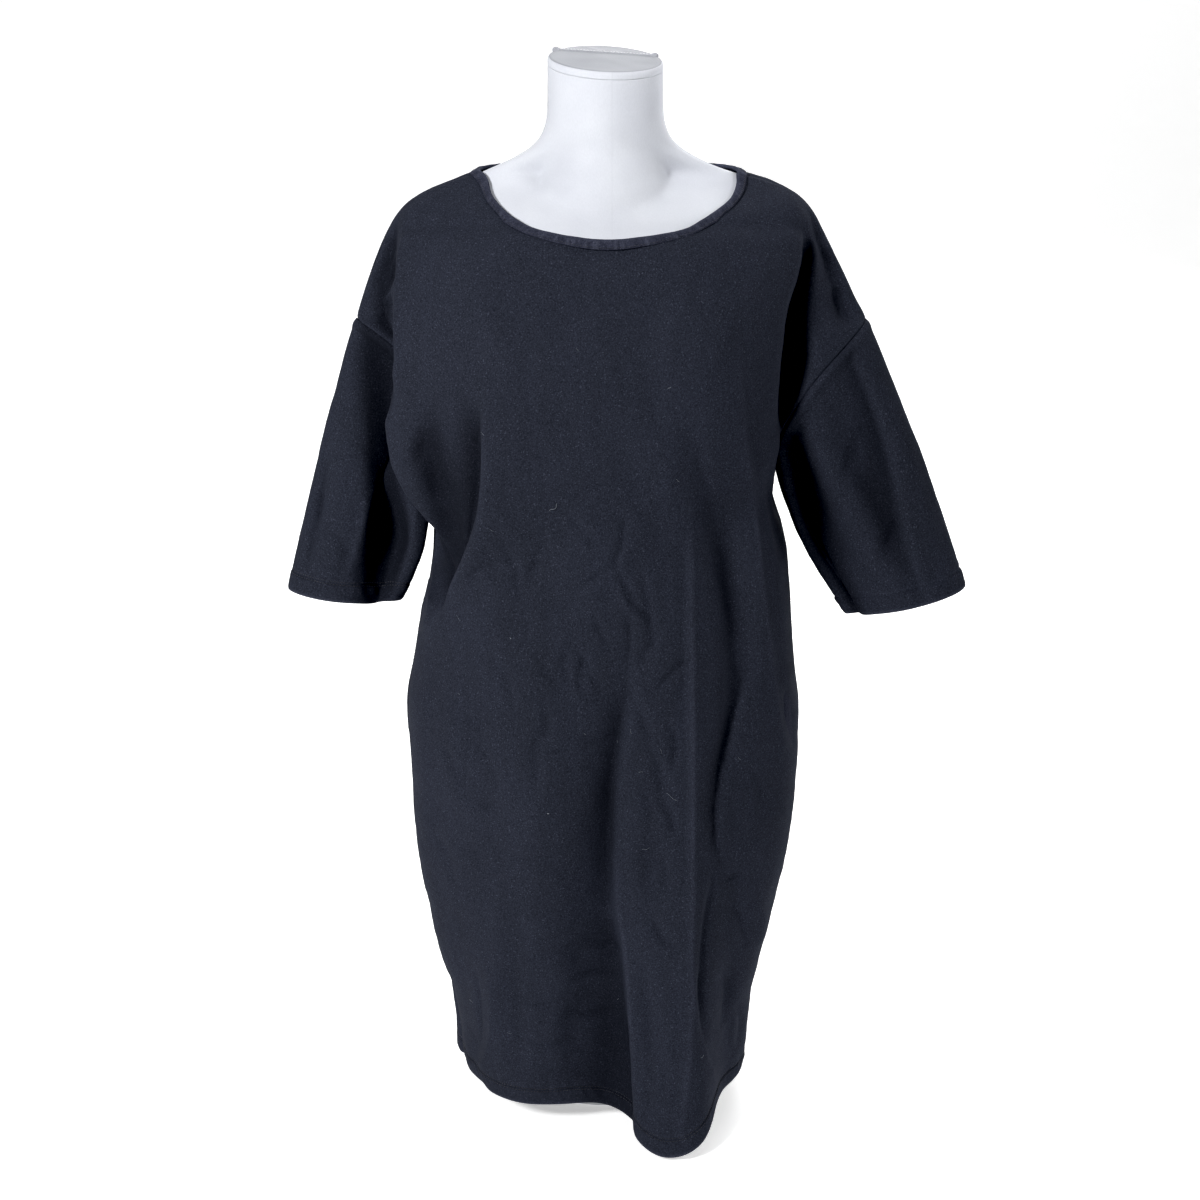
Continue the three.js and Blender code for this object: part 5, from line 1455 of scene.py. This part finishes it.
def cap_ear(name, side):
    """A small gathered tuft where the cover's seam ends at the rim."""
    x0 = side * EAR["at"]
    y0 = CAP_SEAM_Y + CAP_SEAM_SLOPE * x0
    foot = np.array([x0, y0, cap_height(x0, y0) + 4.6])
    axis = unit(np.array([side * 0.75, 0.1, 0.62]))
    across = unit(np.cross(axis, [0, 1, 0]))
    other = np.cross(axis, across)
    angle = round_angles(36)
    rings = []
    for share in np.linspace(0, 1, 14):
        radius = EAR["radius"] * (1 - 0.35 * share) * math.sqrt(max(1 - share ** 4, 0.02))
        pleat = 1 + 0.16 * np.cos(7 * angle + 1.4 * share) * (0.4 + share)
        centre = foot + axis * (EAR["length"] * share) + other * (1.2 * share ** 2)
        rings.append(centre + (radius * pleat)[:, None] * (
            across * np.cos(angle)[:, None] + other * 0.62 * np.sin(angle)[:, None]))
    return lofted(name, np.stack(rings), cap_back)


cap_stitches = cap_seam()
ears = [cap_ear("cap_ear_left", -1), cap_ear("cap_ear_right", 1)]


def fibre(points, radius, sides=5):
    points = np.asarray(points, float)
    along = unit(np.gradient(points, axis=0))
    across = unit(np.cross(along, [0.31, 0.2, 0.93]))
    other = np.cross(across, along)
    angle = round_angles(sides)
    taper = np.sin(np.linspace(0.15, 0.85, len(points)) * np.pi) ** 0.4 * radius
    return np.stack([p + t * (a * np.cos(angle)[:, None] + o * np.sin(angle)[:, None])
                     for p, t, a, o in zip(points, taper, across, other)])


FIBRE_POINTS = 12
SCATTERED_LINT = 26
LINT_ON_FRONT = 14      # of the scattered ones, and the rest on the back


def lint_fibres():
    """Loose fibres and specks of lint that cling to the brushed cloth."""
    random = np.random.default_rng(RANDOM_SEED + 8)
    # Place on the front (x, height), length, curl and radius.
    chosen = [(-51, 670, 12, 3.4, 0.15), (-56, 373, 1.6, 0.6, 0.50), (59, 787, 4, 1.2, 0.12),
              (58, 392, 13, 1.0, 0.10), (95, 102, 6, 1.4, 0.12), (-18, 452, 3, 1.0, 0.12),
              (-90, 545, 1.5, 0.5, 0.28), (36, 330, 8, 2.2, 0.09)]
    scattered = [(random.uniform(-150, 150), random.uniform(60, 880), random.uniform(2, 7),
                  random.uniform(0.4, 1.8), random.uniform(0.06, 0.10))
                 for _ in range(SCATTERED_LINT)]
    vertices, faces = [], []
    for outer, flip, places in ((front_outer, False, chosen + scattered[:LINT_ON_FRONT]),
                                (back_outer, True, scattered[LINT_ON_FRONT:])):
        normals = grid_normals(outer, flip)
        for x, z, length, curl, radius in places:
            gap = (outer[..., 0] - x) ** 2 + (outer[..., 2] - z) ** 2
            r, c = np.unravel_index(np.argmin(gap), gap.shape)
            n = normals[r, c]
            across = unit(np.cross(n, [0, 0, 1]))
            up = np.cross(across, n)
            turn = random.uniform(0, 2 * np.pi)
            s = np.linspace(0, 1, FIBRE_POINTS)
            heading = turn + curl * (s - 0.5) + 0.5 * curl * np.sin(5 * s)
            step = length / (FIBRE_POINTS - 1)
            walk = np.cumsum(np.stack([np.cos(heading), np.sin(heading)], -1) * step, axis=0)
            lift = radius + 0.5 * np.sin(np.pi * s) * min(length / 6, 1)
            path = outer[r, c] + walk[:, :1] * across + walk[:, 1:] * up + lift[:, None] * n
            tube = fibre(path, radius)
            faces += tube_faces(len(vertices), *tube.shape[:2])
            vertices.extend(tube.reshape(-1, 3))
    return add_mesh("lint", vertices, faces, lint)


lint_piece = lint_fibres()

# ---- Floor, light and camera ----


# Metres: the floor's near edge, where it begins to bend up, the bend, and the wall's top.
FLOOR = {"near": -6.0, "bend_at": 3.2, "bend": 1.6, "top": 7.0, "half_width": 8.0}
FLOOR_BEND_STEPS = 12
GLOW = (-1.3, -0.3, 0.0, 0.55)  # the floor glows more from the first y to the second
# Name, place, what it points at, size and power.
LIGHTS = [
    ("key", (-1.6, -2.15, 2.0), (0, 0, 0.75), 0.5, 98),
    ("fill", (2.4, -1.8, 1.6), (0, 0, 0.8), 1.2, 7),
    ("side", (2.8, 0.7, 1.8), (0, 0, 0.6), 1.0, 42),
    ("neck", (1.15, -0.75, 1.75), (0, 0.02, 1.03), 0.3, 0.19),
    ("back", (0.9, 2.9, 2.4), (0, 0, 0.6), 1.6, 60),
    ("top", (0.0, 0.5, 3.4), (0, 0.5, 0), 2.0, 22),
]
NECK_SPREAD = math.radians(26)
CAMERA = {"place": (-0.005, -2.1, 1.221), "below_level": 17.94, "lens": 66.2, "sensor": 36}
GAMMA = 0.8
BLACK = 0.013


def make_stage():
    bend_at, bend = FLOOR["bend_at"], FLOOR["bend"]
    profile = [(FLOOR["near"], 0), (bend_at, 0)]
    for k in range(1, FLOOR_BEND_STEPS + 1):
        a = math.pi / 2 * k / FLOOR_BEND_STEPS
        profile.append((bend_at + bend * math.sin(a), bend * (1 - math.cos(a))))
    profile.append((bend_at + bend, FLOOR["top"]))
    half = FLOOR["half_width"]
    vertices = [(x, y, z) for y, z in profile for x in (-half, half)]
    faces = [(2 * i, 2 * i + 1, 2 * i + 3, 2 * i + 2) for i in range(len(profile) - 1)]
    mesh = bpy.data.meshes.new("studio")
    mesh.from_pydata(vertices, [], faces)
    mesh.polygons.foreach_set("use_smooth", [True] * len(faces))
    studio = bpy.data.objects.new("studio", mesh)
    bpy.context.scene.collection.objects.link(studio)
    paint = Paint("studio_white", Roughness=0.9)
    paint.shader.inputs["Base Color"].default_value = (0.78, 0.78, 0.78, 1)
    paint.shader.inputs["Emission Color"].default_value = (1, 1, 1, 1)
    behind = paint.add("SeparateXYZ", {0: paint.place}, out=1)
    paint.link(paint.between(behind, *GLOW), "Emission Strength")
    mesh.materials.append(paint.material)


def area_light(name, place, target, size, power):
    data = bpy.data.lights.new(name, "AREA")
    data.shape = "DISK"
    data.size = size
    data.energy = power
    lamp = bpy.data.objects.new(name, data)
    lamp.location = place
    lamp.rotation_euler = (Vector(target) - Vector(place)).to_track_quat("-Z", "Y").to_euler()
    bpy.context.scene.collection.objects.link(lamp)
    return data


make_stage()
lights = {row[0]: area_light(*row) for row in LIGHTS}
lights["neck"].spread = NECK_SPREAD

world = bpy.data.worlds.new("studio_world")
world.use_nodes = True
background = world.node_tree.nodes["Background"].inputs
background["Color"].default_value = (1, 1, 1, 1)
background["Strength"].default_value = 0.08
scene = bpy.context.scene
scene.world = world
scene.view_settings.view_transform = "Standard"
scene.view_settings.gamma = GAMMA
scene.view_settings.use_curve_mapping = True
scene.view_settings.curve_mapping.black_level = (BLACK, BLACK, BLACK)
scene.view_settings.curve_mapping.update()

camera_data = bpy.data.cameras.new("camera")
camera_data.sensor_width = CAMERA["sensor"]
camera_data.lens = CAMERA["lens"]
camera = bpy.data.objects.new("camera", camera_data)
camera.location = CAMERA["place"]
camera.rotation_euler = (math.radians(90 - CAMERA["below_level"]), 0, 0)
scene.collection.objects.link(camera)
scene.camera = camera
